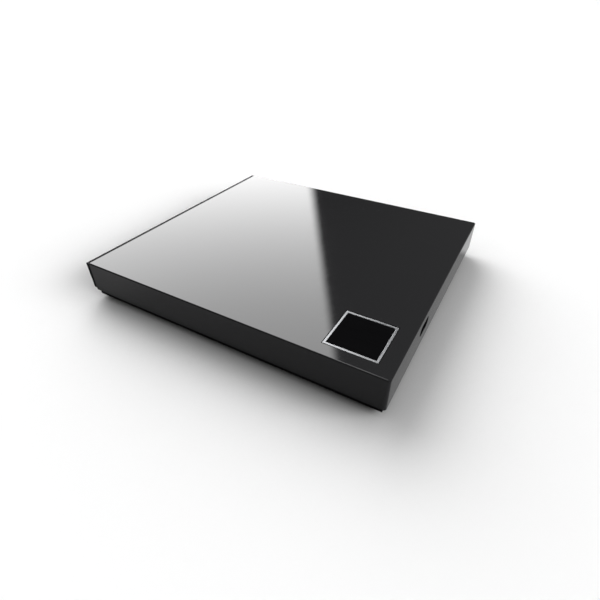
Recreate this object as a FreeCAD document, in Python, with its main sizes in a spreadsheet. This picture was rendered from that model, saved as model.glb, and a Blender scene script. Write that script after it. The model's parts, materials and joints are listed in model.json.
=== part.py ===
"""External slim disc drive: a thin two-shell case around a tray-loading slim drive.

Frame: millimetres, origin on the floor under the middle of the case, +Z up.
The tray opens towards -Y, the port is in the rear wall at +Y, and +X is the side with the badge.
"""
import FreeCAD, Part
import os
import re
import Sketcher

# Driving sizes, in millimetres and degrees, one spreadsheet cell each.
SIZES = {
    "case_width": 141.0,
    "case_depth": 157.0,
    "case_height": 20.5,
    "shell_wall": 2.0,
    "shell_roof": 1.8,
    "hem_height": 5.2,
    "top_round": 0.6,
    "corner_round": 1.2,
    "seam_gap": 0.3,
    "foot_height": 1.5,
    "foot_radius": 5.0,
    "foot_seat": 0.5,
    "foot_inset": 14.5,
    "base_inset": 1.5,
    "base_floor": 1.8,
    "base_wall": 1.5,
    "base_chamfer": 0.6,
    "lap_height": 3.0,
    "lap_gap": 0.2,
    "lip_wall": 1.2,
    "snap_height": 0.8,
    "snap_reach": 0.5,
    "snap_length": 6.0,
    "boss_radius": 3.0,
    "boss_inset_side": 12.5,
    "boss_inset_rear": 12.5,
    "boss_meet": 2.7,
    "case_screw_radius": 1.1,
    "case_screw_head": 2.4,
    "case_screw_length": 9.0,
    "head_floor": 1.5,
    "screw_gap": 0.05,
    "bezel_wall": 2.2,
    "bezel_draft": 0.5,
    "bezel_bottom": 6.0,
    "bezel_margin": 0.1,
    "bezel_drop": 0.3,
    "bezel_round": 0.4,
    "bezel_foot_round": 0.5,
    "bezel_land": 1.5,
    "bezel_lug_width": 6.0,
    "bezel_lug_height": 1.2,
    "bezel_lug_length": 1.3,
    "bezel_lug_place": 24.0,
    "badge_size": 22.7,
    "badge_band": 1.1,
    "badge_seat": 0.8,
    "badge_groove": 0.25,
    "badge_plate_drop": 0.1,
    "badge_plate_gap": 0.1,
    "badge_inset_side": 17.5,
    "badge_inset_rear": 18.25,
    "port_width": 11.8,
    "port_height": 5.2,
    "port_inset_side": 42.8,
    "port_level": 14.1,
    "drive_width": 128.0,
    "drive_depth": 126.0,
    "drive_height": 12.7,
    "drive_rest": 1.0,
    "drive_gap": 0.2,
    "pan_sheet": 0.7,
    "cover_sheet": 0.5,
    "tab_width": 4.0,
    "tab_depth": 6.0,
    "tab_sheet": 0.8,
    "cover_screw_radius": 0.9,
    "cover_screw_head": 1.6,
    "cover_screw_head_height": 0.4,
    "rail_sheet": 0.5,
    "rail_gap": 0.3,
    "rail_reach": 1.3,
    "rail_lip_gap": 0.4,
    "rail_half": 1.0,
    "rail_level": 3.6,
    "rail_start": 2.0,
    "rail_length": 105.0,
    "fixed_rail_length": 112.0,
    "tray_gap": 0.6,
    "tray_plate": 0.5,
    "tray_wall": 1.0,
    "tray_front_wall": 1.8,
    "tray_front_rim": 1.9,
    "tray_side_gap": 0.7,
    "tray_rear_gap": 3.7,
    "tray_overhang": 9.0,
    "tray_floor": 1.2,
    "floor_height": 6.3,
    "well_depth": 2.6,
    "disc_radius": 60.0,
    "disc_gap": 0.9,
    "disc_lift": 1.0,
    "disc_hole_radius": 7.5,
    "hub_gap": 0.1,
    "control_level": 3.9,
    "button_place": 53.0,
    "button_width": 8.0,
    "button_height": 3.0,
    "button_gap": 0.25,
    "button_flange": 1.0,
    "switch_gap": 0.45,
    "light_place": 45.8,
    "light_radius": 0.8,
    "release_place": 41.0,
    "release_radius": 0.8,
    "pin_place": 34.0,
    "pin_setback": 14.3,
    "pin_radius": 1.25,
    "pin_height": 2.8,
    "lever_offset": 4.5,
    "lever_arm": 16.0,
    "lever_hub_radius": 2.6,
    "lever_bore": 1.55,
    "lever_pivot_gap": 0.05,
    "lever_height": 3.0,
    "lever_left": 2.5,
    "lever_right": 1.0,
    "lever_nose": 5.2,
    "lever_nose_gap": 0.65,
    "lever_nose_width": 2.2,
    "lever_foot": 5.0,
    "plunger_arm": 7.0,
    "plunger_radius": 1.0,
    "plunger_reach": 3.5,
    "plunger_length": 8.0,
    "link_peg": 0.7,
    "link_gap": 0.1,
    "link_half": 1.6,
    "link_sheet": 0.6,
    "link_lift": 0.2,
    "solenoid_start": 8.0,
    "solenoid_length": 11.5,
    "solenoid_width": 7.0,
    "solenoid_height": 4.4,
    "sled_angle": 226.0,
    "frame_lift": 0.9,
    "frame_sheet": 0.8,
    "frame_half": 21.8,
    "frame_back": 17.0,
    "frame_reach": 64.5,
    "shaft_radius": 1.0,
    "shaft_spread": 15.5,
    "shaft_height": 1.6,
    "shaft_start": 11.5,
    "shaft_block": 2.1,
    "bush_half": 1.5,
    "bush_gap": 0.05,
    "read_start": 22.0,
    "sled_half": 12.5,
    "sled_back": 8.2,
    "sled_reach": 10.0,
    "sled_lift": 0.2,
    "sled_height": 2.8,
    "screw_spread": 19.3,
    "screw_radius": 1.1,
    "screw_tip": 0.7,
    "bracket_sheet": 1.2,
    "motor_radius": 2.2,
    "motor_start": 0.5,
    "motor_length": 12.0,
    "actuator_half": 5.5,
    "actuator_wall": 0.7,
    "actuator_height": 1.2,
    "holder_half": 4.1,
    "holder_gap": 0.5,
    "holder_height": 1.0,
    "lens_radius": 2.0,
    "lens_height": 0.4,
    "cover_plate": 0.4,
    "cover_plate_half": 17.0,
    "cover_plate_back": 19.0,
    "cover_plate_reach": 57.0,
    "cover_plate_ledge": 1.5,
    "slot_half": 6.5,
    "slot_reach": 64.0,
    "spindle_plate": 0.6,
    "spindle_plate_radius": 14.0,
    "stator_radius": 9.0,
    "stator_height": 2.4,
    "sleeve_radius": 3.0,
    "spindle_radius": 1.2,
    "rotor_radius": 11.5,
    "rotor_wall": 1.0,
    "rotor_roof": 0.8,
    "rotor_height": 4.3,
    "rotor_gap": 0.3,
    "platter_radius": 14.5,
    "platter_height": 0.7,
    "neck_radius": 8.0,
    "ring_width": 2.7,
    "ring_height": 0.3,
    "hub_height": 2.4,
    "hub_chamfer": 0.8,
    "claw_half": 0.9,
    "claw_root": 5.3,
    "claw_gap": 0.1,
    "claw_travel": 0.5,
    "claw_nose": 0.35,
    "disc_thickness": 1.2,
    "damper_radius": 2.1,
    "damper_neck": 1.5,
    "damper_flange": 0.4,
    "damper_bore": 1.05,
    "shoulder_radius": 1.0,
    "shoulder_head": 0.4,
    "board_sheet": 0.8,
    "board_lift": 2.1,
    "board_rear_gap": 7.0,
    "board_front": 28.0,
    "board_half": 57.0,
    "board_wing": 18.5,
    "board_wing_length": 56.5,
    "board_post_radius": 2.2,
    "small_screw_radius": 0.9,
    "small_screw_head": 1.6,
    "small_screw_head_height": 0.25,
    "flex_sheet": 0.15,
    "flex_width": 10.0,
    "flex_place": -52.0,
    "flex_fold_place": -24.0,
    "plug_place": -23.5,
    "plug_width": 33.0,
    "plug_height": 3.4,
    "plug_reach": 2.0,
    "connector_lift": 1.2,
    "kick_place": 50.0,
    "kick_radius": 1.2,
    "kick_level": 3.8,
    "bridge_sheet": 1.0,
    "bridge_gap": 1.2,
    "bridge_rear_gap": 0.4,
    "bridge_half": 50.0,
    "bridge_post_radius": 2.4,
    "bridge_post_inset": 4.0,
    "bridge_screw_radius": 1.0,
    "bridge_screw_head": 1.9,
    "receptacle_width": 10.4,
    "receptacle_height": 3.9,
    "receptacle_depth": 9.2,
    "receptacle_wall": 0.4,
    "tongue_half": 3.6,
    "pad_width": 70.0,
    "pad_depth": 12.0,
    "pad_place": 32.0,
}

# Places worked out from the sizes, each written once and used by every piece that meets there.
PLACES = {
    "side_x": "case_width / 2",
    "front_y": "-case_depth / 2",
    "rear_y": "case_depth / 2",
    "bezel_back_y": "front_y + bezel_wall",
    "shell_front_y": "bezel_back_y + seam_gap",
    "shell_inner_x": "side_x - shell_wall",
    "shell_inner_y": "rear_y - shell_wall",
    "roof_z": "case_height - shell_roof",
    "base_x": "side_x - base_inset",
    "base_rear_y": "rear_y - base_inset",
    "base_top_z": "foot_height + base_floor",
    "lap_x": "shell_inner_x - lap_gap",
    "lap_y": "shell_inner_y - lap_gap",
    "lap_top_z": "hem_height + lap_height",
    "snap_z": "hem_height + 1.4",
    "bay_x": "lap_x - base_wall",
    "bay_y": "lap_y - base_wall",
    "lip_back_y": "shell_front_y + lip_wall",
    "foot_x": "side_x - foot_inset",
    "foot_y": "rear_y - foot_inset",
    "boss_x": "side_x - boss_inset_side",
    "boss_y": "rear_y - boss_inset_rear",
    "boss_meet_z": "base_top_z + boss_meet",
    "head_floor_z": "foot_height + head_floor",
    "drive_front_y": "lip_back_y + drive_gap",
    "drive_rear_y": "drive_front_y + drive_depth",
    "drive_bottom_z": "base_top_z + drive_rest",
    "drive_top_z": "drive_bottom_z + drive_height",
    "pan_x": "drive_width / 2",
    "pan_inner_x": "pan_x - pan_sheet",
    "pan_inner_y": "drive_rear_y - pan_sheet",
    "pan_z": "drive_bottom_z + pan_sheet",
    "pan_top_z": "drive_top_z - cover_sheet",
    "badge_x": "side_x - badge_inset_side",
    "badge_y": "rear_y - badge_inset_rear",
    "badge_floor_z": "case_height - badge_seat",
    "port_x": "side_x - port_inset_side",
    "fixed_web_x": "pan_inner_x - rail_sheet",
    "slide_outer_x": "fixed_web_x - rail_gap",
    "slide_web_x": "slide_outer_x - rail_sheet",
    "bar_x": "slide_web_x - rail_gap",
    "tray_side_x": "bar_x - rail_reach",
    "slide_lip_x": "tray_side_x + rail_lip_gap",
    "fixed_lip_x": "slide_lip_x + rail_lip_gap",
    "rail_z": "pan_z + rail_level",
    "slide_inner_half": "rail_half + rail_gap",
    "slide_outer_half": "slide_inner_half + rail_sheet",
    "fixed_inner_half": "slide_outer_half + rail_gap",
    "fixed_outer_half": "fixed_inner_half + rail_sheet",
    "rail_front_y": "drive_front_y + rail_start",
    "rail_rear_y": "rail_front_y + rail_length",
    "tray_base_z": "pan_z + tray_gap",
    "plate_top_z": "tray_base_z + tray_plate",
    "tray_floor_z": "plate_top_z + floor_height",
    "tray_under_z": "tray_floor_z - tray_floor",
    "tray_rim_z": "tray_floor_z + well_depth",
    "overhang_z": "rail_z + fixed_outer_half + rail_lip_gap",
    "tray_rim_x": "pan_inner_x - tray_side_gap",
    "tray_rear_y": "pan_inner_y - tray_rear_gap",
    "tray_body_rear_y": "tray_rear_y - tray_overhang",
    "cavity_x": "tray_side_x - tray_wall",
    "cavity_front_y": "bezel_back_y + tray_front_wall",
    "cavity_rear_y": "tray_body_rear_y - tray_wall",
    "well_radius": "disc_radius + disc_gap",
    "disc_y": "bezel_back_y + tray_front_rim + well_radius",
    "disc_seat_z": "tray_floor_z + disc_lift",
    "control_z": "pan_z + control_level",
    "pin_y": "bezel_back_y + pin_setback",
    "pin_top_z": "pan_z + pin_height",
    "pivot_x": "pin_place + lever_offset",
    "pivot_y": "pin_y + lever_arm",
    "lever_z": "plate_top_z + rail_lip_gap",
    "plunger_y": "pivot_y - plunger_arm",
    "lever_top_z": "lever_z + lever_height",
    "plunger_z": "lever_top_z - 0.5 * plunger_radius",
    "link_x": "pivot_x - (lever_left - lever_right) / 2",
    "plunger_tip_x": "pivot_x + plunger_reach",
    "solenoid_x": "pivot_x + solenoid_start",
    "frame_z": "plate_top_z + frame_lift",
    "frame_top_z": "frame_z + frame_sheet",
    "shaft_z": "frame_top_z + shaft_height",
    "screw_end": "frame_reach - 7",
    "sled_z": "frame_top_z + sled_lift",
    "sled_top_z": "sled_z + sled_height",
    "cover_seat_z": "tray_floor_z - cover_plate - claw_gap",
    "holder_z": "sled_top_z + holder_gap",
    "hub_radius": "disc_hole_radius - hub_gap",
    "platter_top_z": "disc_seat_z - ring_height",
    "platter_z": "platter_top_z - platter_height",
    "hub_top_z": "disc_seat_z + hub_height",
    "rotor_bottom_z": "frame_z + rotor_gap",
    "rotor_top_z": "rotor_bottom_z + rotor_height",
    "spindle_plate_z": "frame_z - spindle_plate",
    "sleeve_top_z": "rotor_top_z - rotor_roof - rotor_gap",
    "claw_z": "disc_seat_z + 0.6",
    "claw_top_z": "hub_top_z - 0.6",
    "nose_z": "disc_seat_z + disc_thickness + 0.3",
    "board_z": "plate_top_z + board_lift",
    "board_top_z": "board_z + board_sheet",
    "board_rear_y": "tray_body_rear_y - board_rear_gap",
    "board_front_y": "disc_y + board_front",
    "connector_z": "pan_z + connector_lift",
    "connector_top_z": "connector_z + board_sheet",
    "kick_z": "pan_z + kick_level",
    "bridge_top_z": "port_level - receptacle_height / 2",
    "bridge_z": "bridge_top_z - bridge_sheet",
    "bridge_front_y": "drive_rear_y + bridge_gap",
    "bridge_rear_y": "shell_inner_y - bridge_rear_gap",
}

doc = FreeCAD.newDocument("disc_drive")
sheet = doc.addObject("Spreadsheet::Sheet", "sizes")
PARTS = []


def fill_sheet():
    """Writes each driving size into its own cell, as a plain number with an alias."""
    for row, (name, value) in enumerate(SIZES.items(), 1):
        sheet.set(f"A{row}", name)
        sheet.set(f"B{row}", str(value))
        sheet.setAlias(f"B{row}", name)
    doc.recompute()


def formula(text):
    """Turns a text of size and place names into a spreadsheet expression."""
    def swap(match):
        word = match.group(0)
        if word in PLACES:
            return f"({formula(PLACES[word])})"
        return f"sizes.{word}" if word in SIZES else word
    return re.sub(r"[a-z_]+", swap, text)


def bind(item, prop, text):
    """Binds one property of an object to the spreadsheet."""
    item.setExpression(prop, formula(text))


def block(name, x, y, z):
    """A box from (low, high) pairs."""
    box = doc.addObject("Part::Box", name)
    for axis, side, (low, high) in zip("xyz", ("Length", "Width", "Height"), (x, y, z)):
        bind(box, f"Placement.Base.{axis}", low)
        bind(box, side, f"({high}) - ({low})")
    return box


def rod(name, axis, centre, span, radius):
    """A cylinder along x, y or z: centre holds its two cross places in x, y, z order."""
    turns = {
        "x": FreeCAD.Rotation(FreeCAD.Vector(0, 1, 0), 90),
        "y": FreeCAD.Rotation(FreeCAD.Vector(1, 0, 0), -90),
        "z": FreeCAD.Rotation(),
    }
    item = doc.addObject("Part::Cylinder", name)
    item.Placement = FreeCAD.Placement(FreeCAD.Vector(), turns[axis])
    places = list(centre)
    places.insert("xyz".index(axis), span[0])
    for letter, place in zip("xyz", places):
        bind(item, f"Placement.Base.{letter}", place)
    bind(item, "Height", f"({span[1]}) - ({span[0]})")
    bind(item, "Radius", radius)
    return item


def join(name, *parts):
    """One solid from several that touch."""
    item = doc.addObject("Part::MultiFuse", name)
    item.Shapes = list(parts)
    item.Refine = True
    return item


def cut(name, base, *tools):
    """The base with every tool taken away."""
    for number, tool in enumerate(tools, 1):
        last = number == len(tools)
        item = doc.addObject("Part::Cut", name if last else f"{name}_cut_{number}")
        item.Base = base
        item.Tool = tool
        item.Refine = last
        base = item
    return base


def pack(name, *parts):
    """Several separate solids in one node."""
    item = doc.addObject("Part::Compound", name)
    item.Links = list(parts)
    return item


def keep(item, name):
    """Labels a finished sub-part and puts it on the list to write."""
    item.Label = name
    PARTS.append(item)
    return item


def turn(item):
    """Turns a piece drawn along the pickup's travel about the spindle into its place."""
    item.Placement = FreeCAD.Placement(
        FreeCAD.Vector(), FreeCAD.Rotation(FreeCAD.Vector(0, 0, 1), SIZES["sled_angle"]))
    bind(item, "Placement.Base.y", "disc_y")
    bind(item, "Placement.Rotation.Angle", "sled_angle")
    return item


def body(name):
    """A body that a piece's sketches and features go into."""
    return doc.addObject("PartDesign::Body", name)


def rect(x, y):
    """The four corners of a rectangle, from (low, high) pairs."""
    return [(x[0], y[0]), (x[1], y[0]), (x[1], y[1]), (x[0], y[1])]


def sketch(owner, name, plane, level, paths=(), circles=()):
    """A sketch on one of the body's origin planes, every point bound to the spreadsheet."""
    item = owner.newObject("Sketcher::SketchObject", name)
    role = {"xy": "XY_Plane", "xz": "XZ_Plane", "yz": "YZ_Plane"}[plane]
    support = [feature for feature in owner.Origin.OriginFeatures if feature.Role == role][0]
    item.AttachmentSupport = [(support, "")]
    item.MapMode = "FlatFace"
    bind(item, "AttachmentOffset.Base.z", f"-({level})" if plane == "xz" else level)
    for path in paths:
        first = item.GeometryCount
        count = len(path)
        spread = [FreeCAD.Vector(index, (index * index) % 7, 0) for index in range(count)]
        for index in range(count):
            item.addGeometry(Part.LineSegment(spread[index], spread[(index + 1) % count]), False)
        for index in range(count):
            follower = first + (index + 1) % count
            item.addConstraint(Sketcher.Constraint("Coincident", first + index, 2, follower, 1))
        for index, (x, y) in enumerate(path):
            for kind, place in (("DistanceX", x), ("DistanceY", y)):
                mark = item.addConstraint(Sketcher.Constraint(kind, -1, 1, first + index, 1, 1.0))
                bind(item, f"Constraints[{mark}]", place)
    for x, y, radius in circles:
        here = item.addGeometry(
            Part.Circle(FreeCAD.Vector(1, 1, 0), FreeCAD.Vector(0, 0, 1), 1.0), False)
        for kind, place in (("DistanceX", x), ("DistanceY", y)):
            mark = item.addConstraint(Sketcher.Constraint(kind, -1, 1, here, 3, 1.0))
            bind(item, f"Constraints[{mark}]", place)
        mark = item.addConstraint(Sketcher.Constraint("Radius", here, 1.0))
        bind(item, f"Constraints[{mark}]", radius)
    return item


def pad(owner, name, profile, length, reverse=False, middle=False):
    """Adds material along the sketch's normal, against it or both ways."""
    item = owner.newObject("PartDesign::Pad", name)
    item.Profile = profile
    item.Reversed = reverse
    item.Midplane = middle
    bind(item, "Length", length)
    return item


def pocket(owner, name, profile, length, reverse=False):
    """Takes material away against the sketch's normal, or along it."""
    item = owner.newObject("PartDesign::Pocket", name)
    item.Profile = profile
    item.Reversed = reverse
    bind(item, "Length", length)
    return item


def revolve(owner, name, profile):
    """Turns a sketch on the xz plane about the body's z axis."""
    item = owner.newObject("PartDesign::Revolution", name)
    item.Profile = profile
    item.ReferenceAxis = (profile, ["V_Axis"])
    item.Angle = 360.0
    return item


def edges(feature, test):
    """The names of the edges whose two end points pass the test."""
    doc.recompute()
    found = []
    for number, edge in enumerate(feature.Shape.Edges, 1):
        ends = [vertex.Point for vertex in edge.Vertexes]
        if len(ends) == 2 and test(ends[0], ends[1]):
            found.append(f"Edge{number}")
    return found


def dress(owner, kind, name, feature, names, prop, size):
    """A fillet or chamfer on named edges of the last feature."""
    item = owner.newObject(f"PartDesign::{kind}", name)
    item.Base = (feature, names)
    bind(item, prop, size)
    return item


def near(first, second):
    """Whether two lengths are the same."""
    return abs(first - second) < 0.001


def upright(a, b):
    """Whether an edge is vertical."""
    return near(a.x, b.x) and near(a.y, b.y)


def signs():
    """The four corners' signs."""
    return [(x, y) for y in (-1, 1) for x in (-1, 1)]


def snap_bars(gap):
    """The plan of the four snap ridges between the shells, grown by a gap."""
    bars = []
    for side in (-1, 1):
        inner, outer = f"{side} * (lap_x - 0.3)", f"{side} * (lap_x + snap_reach + {gap})"
        across = (inner, outer) if side > 0 else (outer, inner)
        for place in ("front_y + 16", "0"):
            bars.append(rect(across, (f"{place} - snap_length / 2 - {gap}",
                                      f"{place} + snap_length / 2 + {gap}")))
    return bars


def top_shell():
    """The glossy upper shell: roof, two sides and rear wall, open below and at the front."""
    shell = body("top_shell")
    plan = rect(("-side_x", "side_x"), ("shell_front_y", "rear_y"))
    solid = pad(shell, "shell_block", sketch(shell, "shell_plan", "xy", "hem_height", [plan]),
                "case_height - hem_height")
    doc.recompute()
    box = solid.Shape.BoundBox
    names = edges(solid, lambda a, b: upright(a, b) and near(a.y, box.YMax))
    corners = dress(shell, "Fillet", "rear_corners", solid, names, "Radius", "corner_round")
    names = edges(corners, lambda a, b: near(a.z, box.ZMax) and near(b.z, box.ZMax)
                  and not (near(a.y, box.YMin) and near(b.y, box.YMin)))
    dress(shell, "Fillet", "top_edge", corners, names, "Radius", "top_round")
    bay = rect(("-shell_inner_x", "shell_inner_x"), ("shell_front_y - 1", "shell_inner_y"))
    pocket(shell, "inside", sketch(shell, "inside_plan", "xy", "hem_height", [bay]),
           "roof_z - hem_height", reverse=True)
    seat = rect(("badge_x - badge_size / 2 - badge_groove", "badge_x + badge_size / 2 + badge_groove"),
                ("badge_y - badge_size / 2 - badge_groove", "badge_y + badge_size / 2 + badge_groove"))
    pocket(shell, "badge_seat", sketch(shell, "badge_plan", "xy", "case_height", [seat]), "badge_seat")
    hole = rect(("port_x - port_width / 2", "port_x + port_width / 2"),
                ("port_level - port_height / 2", "port_level + port_height / 2"))
    pocket(shell, "port", sketch(shell, "port_plan", "xz", "rear_y", [hole]), "shell_wall", reverse=True)
    grooves = sketch(shell, "snap_plan", "xy", "snap_z - screw_gap", snap_bars("2 * screw_gap"))
    pocket(shell, "snap_grooves", grooves, "snap_height + 2 * screw_gap", reverse=True)
    walls = [(f"{side} * boss_x", "boss_y", "boss_radius") for side in (-1, 1)]
    posts = pad(shell, "bosses", sketch(shell, "boss_plan", "xy", "roof_z", circles=walls),
                "roof_z - boss_meet_z", reverse=True)
    bores = [(x, y, "case_screw_radius + screw_gap") for x, y, radius in walls]
    pocket(shell, "boss_bores", sketch(shell, "bore_plan", "xy", "boss_meet_z", circles=bores),
           "case_screw_length", reverse=True)
    doc.recompute()
    centre = (box.XMax - sheet.get("port_inset_side"), sheet.get("port_level"))
    reach = (sheet.get("port_width") / 2, sheet.get("port_height") / 2)

    def port_corner(a, b):
        level = near(a.x, b.x) and near(a.z, b.z) and not near(a.y, b.y)
        return level and near(abs(a.x - centre[0]), reach[0]) and near(abs(a.z - centre[1]), reach[1])

    last = shell.Tip
    dress(shell, "Fillet", "port_ends", last, edges(last, port_corner), "Radius",
          "port_height / 2 - 0.1")
    keep(shell, "top_shell")


def bottom_shell():
    """The base shell: inset tub with a lap inside the top shell, rests, ribs, bosses and foot seats."""
    base = body("bottom_shell")
    plan = rect(("-base_x", "base_x"), ("shell_front_y", "base_rear_y"))
    tub = pad(base, "tub", sketch(base, "tub_plan", "xy", "foot_height", [plan]),
              "hem_height - foot_height")
    doc.recompute()
    box = tub.Shape.BoundBox
    names = edges(tub, lambda a, b: near(a.z, box.ZMin) and near(b.z, box.ZMin))
    dress(base, "Chamfer", "lower_edge", tub, names, "Size", "base_chamfer")
    plan = rect(("-lap_x", "lap_x"), ("shell_front_y", "lap_y"))
    pad(base, "lap", sketch(base, "lap_plan", "xy", "hem_height", [plan]), "lap_height")
    plan = rect(("-bay_x", "bay_x"), ("lip_back_y", "bay_y"))
    pocket(base, "bay", sketch(base, "bay_plan", "xy", "lap_top_z", [plan]), "lap_top_z - base_top_z")
    plan = rect(("-bay_x", "bay_x"), ("shell_front_y - 1", "lip_back_y + 1"))
    pocket(base, "tray_way", sketch(base, "way_plan", "xy", "lap_top_z", [plan]), "lap_top_z - pan_z")
    pad(base, "snap_ridges", sketch(base, "snap_plan", "xy", "snap_z", snap_bars("0")), "snap_height")
    rests = [rect((f"{x} * (pan_x - 10) - 4", f"{x} * (pan_x - 10) + 4"),
                  (f"{y} * (drive_depth / 2 - 12) + drive_front_y + drive_depth / 2 - 4",
                   f"{y} * (drive_depth / 2 - 12) + drive_front_y + drive_depth / 2 + 4"))
             for x, y in signs()]
    pad(base, "rests", sketch(base, "rest_plan", "xy", "base_top_z", rests), "drive_rest")
    ribs = []
    for side in (-1, 1):
        inner, outer = f"{side} * (pan_x + drive_gap)", f"{side} * bay_x"
        low, high = (inner, outer) if side > 0 else (outer, inner)
        for place in (-1, 1):
            ribs.append(rect((low, high), (f"{place} * case_depth / 4 - 1", f"{place} * case_depth / 4 + 1")))
        ribs.append(rect((f"{side} * (pan_x - 14) - 3", f"{side} * (pan_x - 14) + 3"),
                         ("drive_rear_y + drive_gap", "drive_rear_y + drive_gap + base_wall")))
    pad(base, "ribs", sketch(base, "rib_plan", "xy", "base_top_z", ribs), "lap_top_z - base_top_z")
    round_bosses = [(f"{side} * boss_x", "boss_y", "boss_radius + 0.5") for side in (-1, 1)]
    pad(base, "bosses", sketch(base, "boss_plan", "xy", "base_top_z", circles=round_bosses), "boss_meet")
    posts = [(x, y, "bridge_post_radius") for x, y in bridge_posts()]
    pad(base, "posts", sketch(base, "post_plan", "xy", "base_top_z", circles=posts),
        "bridge_z - base_top_z")
    holes = [(x, y, "bridge_screw_radius + screw_gap") for x, y in bridge_posts()]
    pocket(base, "post_bores", sketch(base, "post_bore_plan", "xy", "bridge_z", circles=holes), "6")
    heads = [(x, y, "case_screw_head + 0.2") for x, y, radius in round_bosses]
    pocket(base, "head_seats", sketch(base, "head_plan", "xy", "foot_height", circles=heads),
           "head_floor", reverse=True)
    holes = [(x, y, "case_screw_radius + 0.15") for x, y, radius in round_bosses]
    pocket(base, "screw_ways", sketch(base, "screw_plan", "xy", "foot_height", circles=holes),
           "boss_meet_z", reverse=True)
    feet = [(f"{x} * foot_x", f"{y} * foot_y", "foot_radius") for x, y in signs()]
    pocket(base, "foot_seats", sketch(base, "foot_plan", "xy", "foot_height", circles=feet),
           "foot_seat", reverse=True)
    keep(base, "bottom_shell")


def badge():
    """The square metal frame in the roof and the dark plate inside it."""
    outer = rect(("badge_x - badge_size / 2", "badge_x + badge_size / 2"),
                 ("badge_y - badge_size / 2", "badge_y + badge_size / 2"))
    inner = rect(("badge_x - badge_size / 2 + badge_band", "badge_x + badge_size / 2 - badge_band"),
                 ("badge_y - badge_size / 2 + badge_band", "badge_y + badge_size / 2 - badge_band"))
    frame = body("badge_frame")
    pad(frame, "band", sketch(frame, "band_plan", "xy", "badge_floor_z", [outer, inner]), "badge_seat")
    keep(frame, "badge_frame")
    window = rect(("badge_x - badge_size / 2 + badge_band + badge_plate_gap",
                   "badge_x + badge_size / 2 - badge_band - badge_plate_gap"),
                  ("badge_y - badge_size / 2 + badge_band + badge_plate_gap",
                   "badge_y + badge_size / 2 - badge_band - badge_plate_gap"))
    plate = body("badge_plate")
    pad(plate, "window", sketch(plate, "window_plan", "xy", "badge_floor_z", [window]),
        "badge_seat - badge_plate_drop")
    keep(plate, "badge_plate")


def feet_and_case_screws():
    """Four rubber feet, and the two screws that hold the shells together at the rear."""
    feet = [rod(f"foot_{n}", "z", (f"{x} * foot_x", f"{y} * foot_y"), ("0", "foot_height + foot_seat"),
                "foot_radius") for n, (x, y) in enumerate(signs(), 1)]
    keep(pack("rubber_feet", *feet), "rubber_feet")
    screws = []
    for side in (-1, 1):
        place = (f"{side} * boss_x", "boss_y")
        head = rod(f"case_head_{side + 1}", "z", place, ("head_floor_z - 1", "head_floor_z"),
                   "case_screw_head")
        shank = rod(f"case_shank_{side + 1}", "z", place,
                    ("head_floor_z - 0.5", "head_floor_z + case_screw_length"), "case_screw_radius")
        screws.append(join(f"case_screw_{side + 1}", head, shank))
    keep(pack("case_screws", *screws), "case_screws")


def bezel():
    """The full-width front panel of the tray, its front leaning in towards the bottom."""
    panel = body("bezel")
    top = "case_height - bezel_drop"
    profile = [("bezel_back_y", "bezel_bottom"), ("bezel_back_y", top), ("front_y", top),
               ("front_y", f"{top} - bezel_land"), ("front_y + bezel_draft", "bezel_bottom")]
    slab = pad(panel, "slab", sketch(panel, "slab_profile", "yz", "0", [profile]),
               "case_width - 2 * bezel_margin", middle=True)
    doc.recompute()
    box = slab.Shape.BoundBox
    front = box.YMin + sheet.get("bezel_draft") + 0.001
    names = edges(slab, lambda a, b: a.y < front and b.y < front
                  and near(a.z, box.ZMin) and near(b.z, box.ZMin))
    last = dress(panel, "Fillet", "foot_round", slab, names, "Radius", "bezel_foot_round")
    names = edges(last, lambda a, b: a.y < front and b.y < front
                  and (near(a.z, box.ZMax) and near(b.z, box.ZMax)
                       or near(abs(a.x), box.XMax) and near(a.x, b.x)))
    dress(panel, "Fillet", "front_round", last, names, "Radius", "bezel_round")
    lugs = [rect((f"{side} * bezel_lug_place - bezel_lug_width / 2",
                  f"{side} * bezel_lug_place + bezel_lug_width / 2"),
                 ("tray_floor_z + 0.7", "tray_floor_z + 0.7 + bezel_lug_height")) for side in (-1, 1)]
    pad(panel, "lugs", sketch(panel, "lug_plan", "xz", "bezel_back_y", lugs), "bezel_lug_length",
        reverse=True)
    window = rect(("button_place - button_width / 2 - button_gap",
                   "button_place + button_width / 2 + button_gap"),
                  ("control_z - button_height / 2 - button_gap",
                   "control_z + button_height / 2 + button_gap"))
    rounds = [("light_place", "control_z", "light_radius + screw_gap"),
              ("release_place", "control_z", "release_radius")]
    pocket(panel, "openings", sketch(panel, "opening_plan", "xz", "front_y - 1", [window], rounds),
           "bezel_wall + 1")
    doc.recompute()
    keep(panel, "bezel")


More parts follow.
